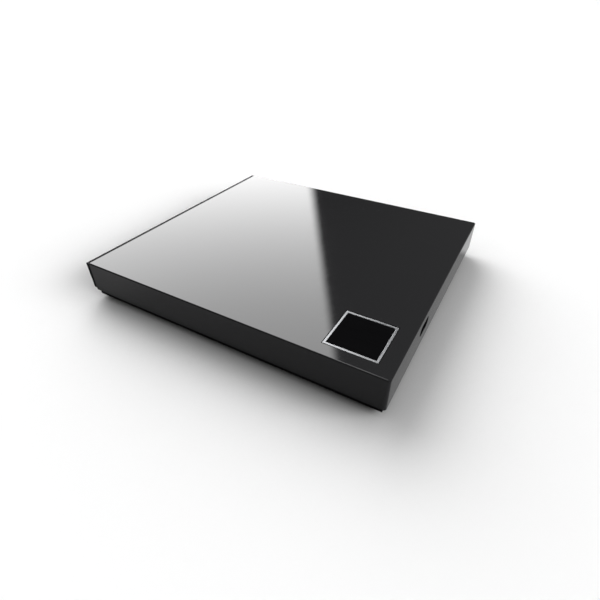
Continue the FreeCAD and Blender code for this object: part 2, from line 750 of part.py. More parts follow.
def front_controls():
    """The eject button, its switch and board, and the light pipe beside it."""
    cap = block("button_cap", ("button_place - button_width / 2", "button_place + button_width / 2"),
                ("front_y + 0.25", "bezel_back_y + button_gap"),
                ("control_z - button_height / 2", "control_z + button_height / 2"))
    flange = block("button_flange_plate",
                   ("button_place - button_width / 2 - button_flange",
                    "button_place + button_width / 2 + button_flange"),
                   ("bezel_back_y + 0.1", "bezel_back_y + 0.8"),
                   ("control_z - button_height / 2 - 0.5", "control_z + button_height / 2 + 0.5"))
    stem = block("button_stem", ("button_place - 1", "button_place + 1"),
                 ("bezel_back_y + 0.5", "cavity_front_y + 1.5 - switch_gap"),
                 ("control_z - 0.7", "control_z + 0.7"))
    keep(join("button_pieces", cap, flange, stem), "eject_button")
    keep(block("front_board_slab", ("light_place - 3.3", "button_place + 5.5"),
               ("cavity_front_y + 0.2", "cavity_front_y + 8"),
               ("plate_top_z", "plate_top_z + board_sheet")), "front_board")
    case = block("switch_case", ("button_place - 3", "button_place + 3"),
                 ("cavity_front_y + 1.9", "cavity_front_y + 6"),
                 ("plate_top_z + board_sheet", "control_z + 2"))
    tip = rod("switch_tip", "y", ("button_place", "control_z"),
              ("cavity_front_y + 1.5", "cavity_front_y + 2.2"), "0.9")
    keep(join("switch_pieces", case, tip), "eject_switch")
    pipe = rod("pipe_rod", "y", ("light_place", "control_z"), ("front_y + 0.35", "cavity_front_y + 2.2"),
               "light_radius")
    foot = block("pipe_foot", ("light_place - 1.4", "light_place + 1.4"),
                 ("cavity_front_y + 2", "cavity_front_y + 4.4"),
                 ("plate_top_z + board_sheet", "control_z + 1"))
    keep(join("pipe_pieces", pipe, foot), "light_pipe")


def sled_point(along, across):
    """Where a point drawn along the pickup's travel lies in the drive, as two formulas."""
    way, side = "cos(sled_angle * 1deg)", "sin(sled_angle * 1deg)"
    return (f"({along}) * {way} - ({across}) * {side}",
            f"disc_y + ({along}) * {side} + ({across}) * {way}")


DAMPERS = (("-12.5", "-18"), ("-12.5", "18"), ("45", "-19.6"))
BOARD_POSTS = (("-board_half + 5", "board_rear_y - 5"), ("board_half - 5", "board_rear_y - 5"),
               ("board_half - 5", "board_front_y - board_wing_length + 6"))
PLATE_POSTS = (("-cavity_x + 3", "cavity_front_y + 3"), ("cavity_x - 3", "plunger_y - 8.5"),
               ("-40", "cavity_rear_y - 2.5"), ("cavity_x - 3", "cavity_rear_y - 2.5"))


def tray():
    """The moulded tray: disc well above, hollow for the mechanism below, a guide bar on each side."""
    low = block("tray_low", ("-tray_side_x", "tray_side_x"), ("bezel_back_y", "tray_body_rear_y"),
                ("plate_top_z", "tray_floor_z"))
    high = block("tray_high", ("-tray_rim_x", "tray_rim_x"), ("bezel_back_y", "tray_rear_y"),
                 ("overhang_z", "tray_rim_z"))
    bars = [block(f"tray_bar_{n}", span, ("rail_front_y", "rail_rear_y"),
                  ("rail_z - rail_half", "rail_z + rail_half"))
            for n, span in enumerate((("-bar_x", "-tray_side_x + 0.5"), ("tray_side_x - 0.5", "bar_x")), 1)]
    well = rod("tray_well", "z", ("0", "disc_y"), ("tray_floor_z", "tray_rim_z + 1"), "well_radius")
    cavity = block("tray_cavity", ("-cavity_x", "cavity_x"), ("cavity_front_y", "cavity_rear_y"),
                   ("plate_top_z - 1", "tray_under_z"))
    button_way = block("tray_button_way",
                       ("button_place - button_width / 2 - button_flange - 0.4",
                        "button_place + button_width / 2 + button_flange + 0.4"),
                       ("bezel_back_y - 1", "cavity_front_y + 0.5"),
                       ("control_z - button_height / 2 - 0.9", "control_z + button_height / 2 + 0.8"))
    light_way = rod("tray_light_way", "y", ("light_place", "control_z"),
                    ("bezel_back_y - 1", "cavity_front_y + 1"), "light_radius + screw_gap")
    release_way = rod("tray_release_way", "y", ("release_place", "control_z"),
                      ("bezel_back_y - 1", "cavity_front_y + 1"), "release_radius")
    pin_way = block("tray_pin_way", ("pin_place - 2.5", "pin_place + 2.5"),
                    ("cavity_rear_y - 1", "tray_body_rear_y + 1"),
                    ("plate_top_z - 1", "pin_top_z + 0.4"))
    flex_way = block("tray_flex_way",
                     ("flex_place - flex_width / 2 - 0.6", "flex_place + flex_width / 2 + 0.6"),
                     ("cavity_rear_y - 1", "tray_body_rear_y + 1"), ("plate_top_z - 1", "plate_top_z + 1"))
    lug_ways = [block(f"tray_lug_way_{side + 1}",
                      (f"{side} * bezel_lug_place - bezel_lug_width / 2 - screw_gap",
                       f"{side} * bezel_lug_place + bezel_lug_width / 2 + screw_gap"),
                      ("bezel_back_y - 1", "bezel_back_y + bezel_lug_length + screw_gap"),
                      ("tray_floor_z + 0.7 - screw_gap", "tray_floor_z + 0.7 + bezel_lug_height + screw_gap"))
                for side in (-1, 1)]
    ledge = block("tray_ledge", ("-cover_plate_back - 0.1", "cover_plate_reach + 0.1"),
                  ("-cover_plate_half - 0.1", "cover_plate_half + 0.1"), ("cover_seat_z", "tray_rim_z"))
    inner = "cover_plate_half - cover_plate_ledge"
    window = block("tray_window",
                   ("-cover_plate_back + cover_plate_ledge", "cover_plate_reach - cover_plate_ledge"),
                   (f"-({inner})", inner), ("tray_under_z - 1", "tray_rim_z"))
    slot = block("tray_slot", ("cover_plate_reach - cover_plate_ledge - 1", "slot_reach"),
                 ("-slot_half", "slot_half"), ("tray_under_z - 1", "tray_floor_z + 0.8"))
    motor_way = block("tray_motor_way", ("motor_start - 1", "motor_start + motor_length + 0.6"),
                      ("screw_spread - motor_radius - 0.3", "screw_spread + motor_radius + 0.3"),
                      ("tray_under_z - 1", "shaft_z + motor_radius + 0.2"))
    turned = turn(join("tray_turned_ways", ledge, window, slot, motor_way))
    hollow = cut("tray_hollow", join("tray_mass", low, high, *bars), well, cavity, button_way, light_way,
                 release_way, pin_way, flex_way, *lug_ways, turned)
    bosses, bores = [], []
    for n, (along, across) in enumerate(DAMPERS, 1):
        place = sled_point(along, across)
        bosses.append(rod(f"damper_boss_{n}", "z", place,
                          ("frame_top_z + damper_flange", "tray_under_z + 0.3"), "damper_radius - 0.1"))
        bores.append(rod(f"damper_bore_{n}", "z", place,
                         ("frame_top_z", "tray_under_z - 0.3"), "shoulder_radius + screw_gap"))
    for n, place in enumerate(BOARD_POSTS, 1):
        bosses.append(rod(f"board_boss_{n}", "z", place, ("board_top_z", "tray_under_z + 0.3"),
                          "board_post_radius"))
        bores.append(rod(f"board_bore_{n}", "z", place, ("board_z", "tray_under_z - 0.3"),
                         "small_screw_radius + screw_gap"))
    for n, place in enumerate(PLATE_POSTS, 1):
        bosses.append(rod(f"plate_boss_{n}", "z", place, ("plate_top_z", "tray_under_z + 0.3"),
                          "board_post_radius - 0.2"))
        bores.append(rod(f"plate_bore_{n}", "z", place, ("plate_top_z - 1", "tray_under_z - 1"),
                         "small_screw_radius + screw_gap"))
    bosses.append(rod("lever_post", "z", ("pivot_x", "pivot_y"), ("lever_z - 0.2", "tray_under_z + 0.3"),
                      "lever_bore - lever_pivot_gap"))
    bosses.append(rod("lever_shoulder", "z", ("pivot_x", "pivot_y"),
                      ("lever_top_z + link_lift", "tray_under_z + 0.3"), "lever_hub_radius - 0.2"))
    keep(cut("tray_part", join("tray_bossed", hollow, *bosses), *bores), "tray")


def tray_plate_and_screws():
    """The sheet that closes the tray from below, and the small screws that hold it and the board."""
    plate = block("plate_slab", ("-tray_side_x + 0.2", "tray_side_x - 0.2"),
                  ("bezel_back_y + 0.6", "tray_body_rear_y - 0.2"), ("tray_base_z", "plate_top_z"))
    pin_slot = block("plate_pin_slot", ("pin_place - 2.5", "pin_place + 2.5"),
                     ("pin_y - 2.5", "tray_body_rear_y + 1"), ("tray_base_z - 1", "plate_top_z + 1"))
    flex_slot = block("plate_flex_slot",
                      ("flex_place - flex_width / 2 - 0.8", "flex_place + flex_width / 2 + 0.8"),
                      ("flex_fold_place - 2", "tray_body_rear_y + 1"), ("tray_base_z - 1", "plate_top_z + 1"))
    holes = [rod(f"plate_hole_{n}", "z", place, ("tray_base_z - 1", "plate_top_z + 1"),
                 "small_screw_radius + screw_gap") for n, place in enumerate(PLATE_POSTS, 1)]
    keep(cut("plate_cut", plate, pin_slot, flex_slot, *holes), "tray_bottom_plate")
    screws = []
    for n, place in enumerate(PLATE_POSTS, 1):
        head = rod(f"plate_head_{n}", "z", place, ("tray_base_z - small_screw_head_height", "tray_base_z"),
                   "small_screw_head")
        shank = rod(f"plate_shank_{n}", "z", place, ("tray_base_z - 0.1", "tray_under_z - 1.2"),
                    "small_screw_radius")
        screws.append(join(f"plate_screw_{n}", head, shank))
    for n, place in enumerate(BOARD_POSTS, 1):
        head = rod(f"board_head_{n}", "z", place, ("board_z - 0.4", "board_z"), "small_screw_head")
        shank = rod(f"board_shank_{n}", "z", place, ("board_z - 0.1", "tray_under_z - 0.5"),
                    "small_screw_radius")
        screws.append(join(f"board_screw_{n}", head, shank))
    keep(pack("tray_screw_set", *screws), "tray_screws")


def mechanism_cover():
    """The thin cover in the well, with the turntable's hole and the lens slot."""
    cover = body("mechanism_cover")
    outline = [("-cover_plate_back", "-cover_plate_half"), ("cover_plate_reach", "-cover_plate_half"),
               ("cover_plate_reach", "-slot_half"), ("read_start - actuator_half - 1", "-slot_half"),
               ("read_start - actuator_half - 1", "slot_half"), ("cover_plate_reach", "slot_half"),
               ("cover_plate_reach", "cover_plate_half"), ("-cover_plate_back", "cover_plate_half")]
    pad(cover, "sheet", sketch(cover, "sheet_plan", "xy", "cover_seat_z", [outline]), "cover_plate")
    round_hole = [("0", "0", "platter_radius + 0.8")]
    pocket(cover, "turntable_hole",
           sketch(cover, "hole_plan", "xy", "tray_floor_z", circles=round_hole), "2")
    keep(turn(cover), "mechanism_cover")


def traverse():
    """The sprung frame that carries the spindle motor, guide shafts, stepper motor and lead screw."""
    frame = body("traverse_frame")
    outline = [("-frame_back", "-frame_half"), ("frame_reach - 4.5", "-frame_half"),
               ("frame_reach", "-frame_half + 4.3"), ("frame_reach", "frame_half - 4.3"),
               ("frame_reach - 5.5", "frame_half"), ("-frame_back", "frame_half")]
    pad(frame, "plate", sketch(frame, "plate_plan", "xy", "frame_z", [outline]), "frame_sheet")
    ends = []
    for side in (-1, 1):
        across = (f"{side} * shaft_spread - bush_half", f"{side} * shaft_spread + bush_half")
        ends.append(rect(("shaft_start", "shaft_start + shaft_block"), across))
        ends.append(rect(("frame_reach - shaft_block", "frame_reach"), across))
    pad(frame, "shaft_blocks", sketch(frame, "block_plan", "xy", "frame_top_z", ends),
        "shaft_height + shaft_radius + 0.4")
    window = rect(("shaft_start + 2.5", "frame_reach - 8.5"), ("-sled_half", "sled_half"))
    notch = rect(("motor_start - 0.5", "motor_start + motor_length"),
                 ("screw_spread - motor_radius - 0.3", "frame_half + 1"))
    pocket(frame, "window", sketch(frame, "window_plan", "xy", "frame_top_z", [window]), "frame_sheet + 1")
    pocket(frame, "motor_notch", sketch(frame, "notch_plan", "xy", "frame_top_z", [notch]),
           "frame_sheet + 1")
    rounds = [("0", "0", "rotor_radius + 1")]
    rounds += [(along, across, "damper_neck + screw_gap") for along, across in DAMPERS]
    pocket(frame, "round_holes", sketch(frame, "round_plan", "xy", "frame_top_z", circles=rounds),
           "frame_sheet + 1")
    bores = [(f"{side} * shaft_spread", "shaft_z", "shaft_radius") for side in (-1, 1)]
    pocket(frame, "shaft_bores", sketch(frame, "shaft_plan", "yz", "shaft_start - 1", circles=bores),
           "frame_reach", reverse=True)
    brackets = [rect((start, f"{start} + bracket_sheet"), ("screw_spread - motor_radius", "frame_half - 0.3"))
                for start in ("motor_start + motor_length", "screw_end")]
    pad(frame, "brackets", sketch(frame, "bracket_plan", "xy", "frame_z", brackets),
        "shaft_z + screw_radius + 0.4 - frame_z")
    hole = [("screw_spread", "shaft_z", "screw_radius + 0.15")]
    pocket(frame, "near_bore", sketch(frame, "near_bore_plan", "yz", "motor_start + motor_length - 1",
                                      circles=hole), "3", reverse=True)
    hole = [("screw_spread", "shaft_z", "screw_tip + screw_gap")]
    pocket(frame, "far_bore", sketch(frame, "far_bore_plan", "yz", "screw_end - 1", circles=hole), "4",
           reverse=True)
    keep(turn(frame), "traverse_frame")
    shafts = [rod(f"shaft_{side + 1}", "x", (f"{side} * shaft_spread", "shaft_z"),
                  ("shaft_start", "frame_reach"), "shaft_radius") for side in (-1, 1)]
    keep(turn(pack("shaft_pair", *shafts)), "guide_shafts")
    can = rod("motor_can", "x", ("screw_spread", "shaft_z"), ("motor_start", "motor_start + motor_length"),
              "motor_radius")
    bore = rod("motor_bore", "x", ("screw_spread", "shaft_z"),
               ("motor_start + motor_length - 3", "motor_start + motor_length + 1"), "screw_radius + 0.15")
    keep(turn(cut("motor_part", can, bore)), "stepper_motor")
    screw = rod("screw_rod", "x", ("screw_spread", "shaft_z"),
                ("motor_start + motor_length - 2.8", "screw_end - 0.2"), "screw_radius")
    tip = rod("screw_tip", "x", ("screw_spread", "shaft_z"), ("screw_end - 0.5", "screw_end + bracket_sheet"),
              "screw_tip")
    keep(turn(join("screw_pieces", screw, tip)), "lead_screw")


def damper_set():
    """Three rubber dampers in the frame's holes, each with its shoulder screw into a tray boss."""
    dampers, screws = [], []
    for n, place in enumerate(DAMPERS, 1):
        lower = rod(f"damper_low_{n}", "z", place, ("frame_z - damper_flange", "frame_z"), "damper_radius")
        neck = rod(f"damper_neck_{n}", "z", place, ("frame_z - 0.1", "frame_top_z + 0.1"), "damper_neck")
        upper = rod(f"damper_high_{n}", "z", place, ("frame_top_z", "frame_top_z + damper_flange"),
                    "damper_radius")
        bore = rod(f"damper_way_{n}", "z", place, ("frame_z - 1", "frame_top_z + 1"), "damper_bore")
        dampers.append(cut(f"damper_{n}", join(f"damper_mass_{n}", lower, neck, upper), bore))
        head = rod(f"shoulder_head_{n}", "z", place,
                   ("frame_z - damper_flange - shoulder_head", "frame_z - damper_flange"),
                   "damper_radius - 0.3")
        shank = rod(f"shoulder_shank_{n}", "z", place,
                    ("frame_z - damper_flange - 0.1", "tray_under_z - 0.5"), "shoulder_radius")
        screws.append(join(f"shoulder_{n}", head, shank))
    keep(turn(pack("damper_group", *dampers)), "traverse_dampers")
    keep(turn(pack("shoulder_group", *screws)), "shoulder_screws")


def spindle():
    """The motor base with its coil ring, the turntable that spins on it, its ring and three claws."""
    base = body("spindle_base")
    section = [("spindle_radius + screw_gap", "spindle_plate_z"), ("spindle_plate_radius", "spindle_plate_z"),
               ("spindle_plate_radius", "frame_z"), ("stator_radius", "frame_z"),
               ("stator_radius", "frame_z + stator_height"), ("sleeve_radius", "frame_z + stator_height"),
               ("sleeve_radius", "sleeve_top_z"), ("spindle_radius + screw_gap", "sleeve_top_z")]
    revolve(base, "base_turned", sketch(base, "base_section", "xz", "0", [section]))
    keep(turn(base), "spindle_base")
    table = body("turntable_body")
    section = [("0", "spindle_plate_z + 0.3"), ("spindle_radius", "spindle_plate_z + 0.3"),
               ("spindle_radius", "rotor_top_z - rotor_roof"),
               ("rotor_radius - rotor_wall", "rotor_top_z - rotor_roof"),
               ("rotor_radius - rotor_wall", "rotor_bottom_z"), ("rotor_radius", "rotor_bottom_z"),
               ("rotor_radius", "rotor_top_z"), ("neck_radius", "rotor_top_z"), ("neck_radius", "platter_z"),
               ("platter_radius", "platter_z"), ("platter_radius", "platter_top_z"),
               ("hub_radius", "platter_top_z"), ("hub_radius", "hub_top_z - hub_chamfer"),
               ("hub_radius - hub_chamfer", "hub_top_z"), ("0", "hub_top_z")]
    revolve(table, "table_turned", sketch(table, "table_section", "xz", "0", [section]))
    slots = [block(f"claw_way_{n}", ("claw_root - claw_travel - claw_gap", "hub_radius + 1"),
                   ("-claw_half - claw_gap", "claw_half + claw_gap"),
                   ("claw_z - claw_gap", "claw_top_z + claw_gap")) for n in range(3)]
    for n, slot in enumerate(slots):
        ways = pack(f"claw_way_turn_{n}", slot)
        ways.Placement = FreeCAD.Placement(
            FreeCAD.Vector(), FreeCAD.Rotation(FreeCAD.Vector(0, 0, 1), 120 * n))
        slots[n] = ways
    keep(turn(cut("turntable_cut", table, *slots)), "turntable")
    outer = rod("ring_outer", "z", ("0", "0"), ("platter_top_z", "disc_seat_z"), "platter_radius - 0.3")
    inner = rod("ring_inner", "z", ("0", "0"), ("platter_top_z - 1", "disc_seat_z + 1"),
                "platter_radius - 0.3 - ring_width")
    keep(turn(cut("ring_part", outer, inner)), "turntable_ring")
    for n in range(3):
        jaw = block(f"claw_jaw_{n}", ("claw_root", "hub_radius - claw_gap"), ("-claw_half", "claw_half"),
                    ("claw_z", "claw_top_z"))
        nose = block(f"claw_nose_{n}", ("hub_radius - 1", "hub_radius + claw_nose"),
                     ("-claw_half", "claw_half"), ("nose_z", "claw_top_z"))
        claw = join(f"claw_pieces_{n}", jaw, nose)
        claw.Placement = FreeCAD.Placement(
            FreeCAD.Vector(), FreeCAD.Rotation(FreeCAD.Vector(0, 0, 1), SIZES["sled_angle"] + 120 * n))
        bind(claw, "Placement.Base.y", "disc_y")
        bind(claw, "Placement.Rotation.Angle", f"sled_angle + {120 * n}")
        keep(claw, f"chuck_claw_{n + 1}")


def pickup():
    """The sled on its two shafts, the follower in the lead screw, and the lens in its actuator."""
    mass = block("sled_mass", ("read_start - sled_back", "read_start + sled_reach"),
                 ("-sled_half", "sled_half"), ("sled_z", "sled_top_z"))
    wings, bores = [], []
    for side, back, reach in ((-1, 6, 4), (1, 5, 3)):
        inner, outer = f"{side} * (sled_half - 0.5)", f"{side} * (shaft_spread + bush_half)"
        across = (inner, outer) if side > 0 else (outer, inner)
        wings.append(block(f"sled_wing_{side + 1}", (f"read_start - {back}", f"read_start + {reach}"), across,
                           ("sled_z", "shaft_z + bush_half")))
        bores.append(rod(f"sled_bore_{side + 1}", "x", (f"{side} * shaft_spread", "shaft_z"),
                         (f"read_start - {back} - 1", f"read_start + {reach} + 1"),
                         "shaft_radius + bush_gap"))
    keep(turn(cut("sled_part", join("sled_pieces", mass, *wings), *bores)), "pickup_sled")
    keep(turn(pack("follower_group", block(
        "follower_block", ("read_start - 5", "read_start - 2"),
        ("shaft_spread + bush_half", "screw_spread - screw_radius - claw_gap"),
        ("shaft_z - 1", "shaft_z + 1")))), "screw_follower")
    wall = body("actuator_cover")
    outer = rect(("read_start - actuator_half", "read_start + actuator_half"),
                 ("-actuator_half", "actuator_half"))
    inner = rect(("read_start - actuator_half + actuator_wall", "read_start + actuator_half - actuator_wall"),
                 ("-actuator_half + actuator_wall", "actuator_half - actuator_wall"))
    pad(wall, "walls", sketch(wall, "wall_plan", "xy", "sled_top_z", [outer, inner]), "actuator_height")
    keep(turn(wall), "actuator_cover")
    holder = body("lens_holder")
    plan = rect(("read_start - holder_half", "read_start + holder_half"), ("-holder_half", "holder_half"))
    pad(holder, "frame", sketch(holder, "frame_plan", "xy", "holder_z", [plan]), "holder_height")
    way = [("read_start", "0", "lens_radius - 0.5")]
    pocket(holder, "light_way", sketch(holder, "way_plan", "xy", "holder_z + holder_height", circles=way),
           "holder_height + 1")
    keep(turn(holder), "lens_holder")
    disc = rod("lens_disc", "z", ("read_start", "0"),
               ("holder_z + holder_height", "holder_z + holder_height + lens_height"), "lens_radius")
    doc.recompute()
    dome = doc.addObject("Part::Fillet", "lens_dome")
    dome.Base = disc
    dome.Edges = [(int(name[4:]), 0.3, 0.3) for name in rim_edges(disc)]
    keep(turn(dome), "lens")


def rim_edges(feature):
    """The names of the closed edges at the top of a round piece."""
    top = feature.Shape.BoundBox.ZMax
    return [f"Edge{number}" for number, edge in enumerate(feature.Shape.Edges, 1)
            if len(edge.Vertexes) == 1 and near(edge.Vertexes[0].Z, top)]


def lock():
    """The pin on the pan, and the lever and solenoid on the tray that hold the tray shut."""
    keep(rod("pin_rod", "z", ("pin_place", "pin_y"), ("pan_z", "pin_top_z"), "pin_radius"), "lock_pin")
    lever = body("lock_lever")
    nose_rear = "-lever_arm + pin_radius + lever_nose_gap + lever_nose_width"
    nose_front = "-lever_arm + pin_radius + lever_nose_gap"
    outline = [("-lever_left", "0"), ("-lever_left", nose_rear), ("-lever_nose", nose_rear),
               ("-lever_nose", nose_front), ("-lever_left + 1", nose_front),
               ("-lever_left + 1", "-lever_arm - 1"),
               ("lever_foot", "-lever_arm - 1"), ("lever_foot", "-lever_arm + 0.6"),
               ("lever_right", "-lever_arm + 0.6"), ("lever_right", "0")]
    pad(lever, "arm", sketch(lever, "arm_plan", "xy", "lever_z", [outline]), "lever_height")
    pad(lever, "hub", sketch(lever, "hub_plan", "xy", "lever_z", circles=[("0", "0", "lever_hub_radius")]),
        "lever_height")
    peg = [("link_x - pivot_x", "-plunger_arm", "link_peg")]
    pad(lever, "peg", sketch(lever, "peg_plan", "xy", "lever_top_z", circles=peg),
        "link_lift + link_sheet + 0.2")
    pocket(lever, "bore", sketch(lever, "bore_plan", "xy", "lever_top_z", circles=[("0", "0", "lever_bore")]),
           "lever_height + 1")
    bind(lever, "Placement.Base.x", "pivot_x")
    bind(lever, "Placement.Base.y", "pivot_y")
    keep(lever, "lock_lever")
    coil = block("solenoid_block", ("solenoid_x", "solenoid_x + solenoid_length"),
                 ("plunger_y - solenoid_width / 2", "plunger_y + solenoid_width / 2"),
                 ("plate_top_z", "plate_top_z + solenoid_height"))
    bore = rod("solenoid_bore", "x", ("plunger_y", "plunger_z"),
               ("solenoid_x - 1", "plunger_tip_x + plunger_length + 2.2"), "plunger_radius + screw_gap")
    keep(cut("solenoid_part", coil, bore), "solenoid")
    core = rod("plunger_rod", "x", ("plunger_y", "plunger_z"),
               ("plunger_tip_x", "plunger_tip_x + plunger_length"), "plunger_radius")
    link = block("plunger_link", ("link_x - 1.4", "plunger_tip_x + 1.5"),
                 ("plunger_y - link_half", "plunger_y + link_half"),
                 ("lever_top_z + link_lift", "lever_top_z + link_lift + link_sheet"))
    hole = rod("link_hole", "z", ("link_x", "plunger_y"), ("lever_top_z", "lever_top_z + 1"),
               "link_peg + link_gap")
    keep(cut("plunger_part", join("plunger_pieces", core, link), hole), "solenoid_plunger")


def rails():
    """A fixed channel on each pan wall, and a sliding channel between it and the tray's bar."""
    fixed = []
    for side, name in ((-1, "left"), (1, "right")):
        def channel(label, web, back, lip, inner_half, outer_half, length):
            def span(low, high):
                return (low, high) if side > 0 else (f"-({high})", f"-({low})")
            length_span = ("rail_front_y", f"rail_front_y + {length}")
            slab = block(f"{label}_slab_{name}", span(lip, back), length_span,
                         (f"rail_z - {outer_half}", f"rail_z + {outer_half}"))
            hollow = block(f"{label}_hollow_{name}", span(f"{lip} - 1", web),
                           ("rail_front_y - 1", f"rail_front_y + {length} + 1"),
                           (f"rail_z - {inner_half}", f"rail_z + {inner_half}"))
            return cut(f"{label}_channel_{name}", slab, hollow)
        fixed.append(channel("fixed", "fixed_web_x", "pan_inner_x", "fixed_lip_x", "fixed_inner_half",
                             "fixed_outer_half", "fixed_rail_length"))
        keep(channel("slide", "slide_web_x", "slide_outer_x", "slide_lip_x", "slide_inner_half",
                     "slide_outer_half", "rail_length"), f"slide_rail_{name}")
    keep(pack("fixed_rail_pair", *fixed), "fixed_rails")


def cover_screw_places():
    """The four places where the drive's cover is screwed to the pan's tabs."""
    front, rear = "drive_front_y + tab_depth / 2", "pan_inner_y - tab_depth / 2"
    across = "pan_inner_x - tab_width / 2"
    return [(f"{side} * ({across})", place) for place in (front, rear) for side in (-1, 1)]


def drive_box():
    """The slim drive's pressed steel pan and its flat cover."""
    pan = body("drive_chassis")
    plan = rect(("-pan_x", "pan_x"), ("drive_front_y", "drive_rear_y"))
    pad(pan, "pan_block", sketch(pan, "pan_plan", "xy", "drive_bottom_z", [plan]),
        "pan_top_z - drive_bottom_z")
    plan = rect(("-pan_inner_x", "pan_inner_x"), ("drive_front_y - 1", "pan_inner_y"))
    pocket(pan, "pan_inside", sketch(pan, "pan_inside_plan", "xy", "pan_top_z", [plan]), "pan_top_z - pan_z")
    gate = rect(("plug_place - plug_width / 2 - 1", "plug_place + plug_width / 2 + 1"),
                ("connector_top_z - 0.4", "connector_top_z + plug_height + 0.6"))
    pocket(pan, "plug_gate", sketch(pan, "gate_plan", "xz", "drive_rear_y + 1", [gate]), "pan_sheet + 2",
           reverse=True)
    tabs = []
    for x, y in cover_screw_places():
        tabs.append(rect((f"{x} - tab_width / 2 - 0.05", f"{x} + tab_width / 2 + 0.05"),
                         (f"{y} - tab_depth / 2", f"{y} + tab_depth / 2")))
    pad(pan, "tabs", sketch(pan, "tab_plan", "xy", "pan_top_z", tabs), "tab_sheet", reverse=True)
    bumps = [("plug_place - 12", "pan_inner_y - 5.5", "2"), ("plug_place + 12", "pan_inner_y - 5.5", "2")]
    pad(pan, "bumps", sketch(pan, "bump_plan", "xy", "pan_z", circles=bumps), "connector_lift")
    holes = [(x, y, "cover_screw_radius + screw_gap") for x, y in cover_screw_places()]
    pocket(pan, "tab_holes", sketch(pan, "tab_hole_plan", "xy", "pan_top_z", circles=holes), "tab_sheet + 1")
    keep(pan, "drive_chassis")
    cover = body("drive_cover")
    plan = rect(("-pan_x", "pan_x"), ("drive_front_y", "drive_rear_y"))
    pad(cover, "cover_sheet_pad", sketch(cover, "cover_plan", "xy", "pan_top_z", [plan], holes),
        "cover_sheet")
    keep(cover, "drive_cover")
    screws = []
    for n, place in enumerate(cover_screw_places(), 1):
        head = rod(f"cover_head_{n}", "z", place, ("drive_top_z", "drive_top_z + cover_screw_head_height"),
                   "cover_screw_head")
        shank = rod(f"cover_shank_{n}", "z", place, ("pan_top_z - tab_sheet - 0.3", "drive_top_z + 0.1"),
                    "cover_screw_radius")
        screws.append(join(f"cover_screw_{n}", head, shank))
    keep(pack("cover_screw_set", *screws), "chassis_screws")
    pads = [block(f"pad_{side + 1}", ("-pad_width / 2", "pad_width / 2"),
                  (f"{side} * pad_place - pad_depth / 2", f"{side} * pad_place + pad_depth / 2"),
                  ("drive_top_z", "roof_z")) for side in (-1, 1)]
    keep(pack("pad_pair", *pads), "foam_pads")


def drive_rear():
    """The connector board and plug at the drive's rear, and the sprung rod that starts the tray."""
    slab = block("connector_slab", ("flex_place - flex_width / 2 - 1", "plug_place + plug_width / 2 + 4"),
                 ("tray_body_rear_y + 2.2", "pan_inner_y - 0.3"), ("connector_z", "connector_top_z"))
    socket = block("flex_socket", ("flex_place - flex_width / 2 - 0.5", "flex_place + flex_width / 2 + 0.5"),
                   ("tray_body_rear_y + 3", "tray_body_rear_y + 7"), ("pan_z + flex_sheet", "connector_z"))
    keep(join("connector_pieces", slab, socket), "connector_board")
    plug = block("plug_block", ("plug_place - plug_width / 2", "plug_place + plug_width / 2"),
                 ("pan_inner_y - 7", "drive_rear_y + plug_reach"),
                 ("connector_top_z", "connector_top_z + plug_height"))
    keep(plug, "drive_plug")
    centre = ("kick_place", "kick_z")
    guide = block("guide_block", ("kick_place - 4", "kick_place + 4"),
                  ("pan_inner_y - 8.5", "pan_inner_y"), ("pan_z", "kick_z + 2.2"))
    bore = rod("guide_bore", "y", centre, ("pan_inner_y - 9", "pan_inner_y - 1"), "kick_radius + screw_gap")
    keep(cut("guide_part", guide, bore), "kickout_guide")
    rod_long = rod("kick_long", "y", centre, ("tray_body_rear_y + 0.3", "pan_inner_y - 1.4"), "kick_radius")
    head = rod("kick_head", "y", centre, ("tray_body_rear_y + 0.3", "tray_body_rear_y + 1.3"), "2.1")
    keep(join("kick_pieces", rod_long, head), "kickout_rod")
    outer = rod("spring_outer", "y", centre, ("tray_body_rear_y + 1.3", "pan_inner_y - 8.5"), "2")
    inner = rod("spring_inner", "y", centre, ("tray_body_rear_y + 1", "pan_inner_y - 8"),
                "kick_radius + 0.15")
    keep(cut("spring_part", outer, inner), "kickout_spring")


def main_board():
    """The tray's main board with its chips and flat cable sockets."""
    board = body("main_board")
    outline = [("-board_half", "board_front_y"), ("board_half - board_wing", "board_front_y"),
               ("board_half - board_wing", "board_front_y - board_wing_length"),
               ("board_half", "board_front_y - board_wing_length"), ("board_half", "board_rear_y"),
               ("-board_half", "board_rear_y")]
    holes = [(x, y, "small_screw_radius + screw_gap") for x, y in BOARD_POSTS]
    pad(board, "slab", sketch(board, "board_plan", "xy", "board_z", [outline], holes), "board_sheet")
    keep(board, "main_board")
    chips = []
    for n, (x, y, half, height) in enumerate((("-22", "board_front_y + 8.5", "7", "1.2"),
                                              ("6", "board_front_y + 8", "4.5", "1"),
                                              ("board_half - 9", "board_front_y - 16", "4", "1"),
                                              ("board_half - 9", "board_front_y - 32", "3", "0.8")), 1):
        across, along = (f"{x} - {half}", f"{x} + {half}"), (f"{y} - {half}", f"{y} + {half}")
        chips.append(block(f"chip_{n}", across, along, ("board_top_z", f"board_top_z + {height}")))
    chips.append(block("tray_flex_socket",
                       ("flex_place - flex_width / 2 + 0.2", "flex_place + flex_width / 2 - 0.2"),
                       ("board_front_y + 3", "board_front_y + 7"), ("plate_top_z + 0.4", "board_z")))
    keep(pack("chip_group", *chips), "main_chips")


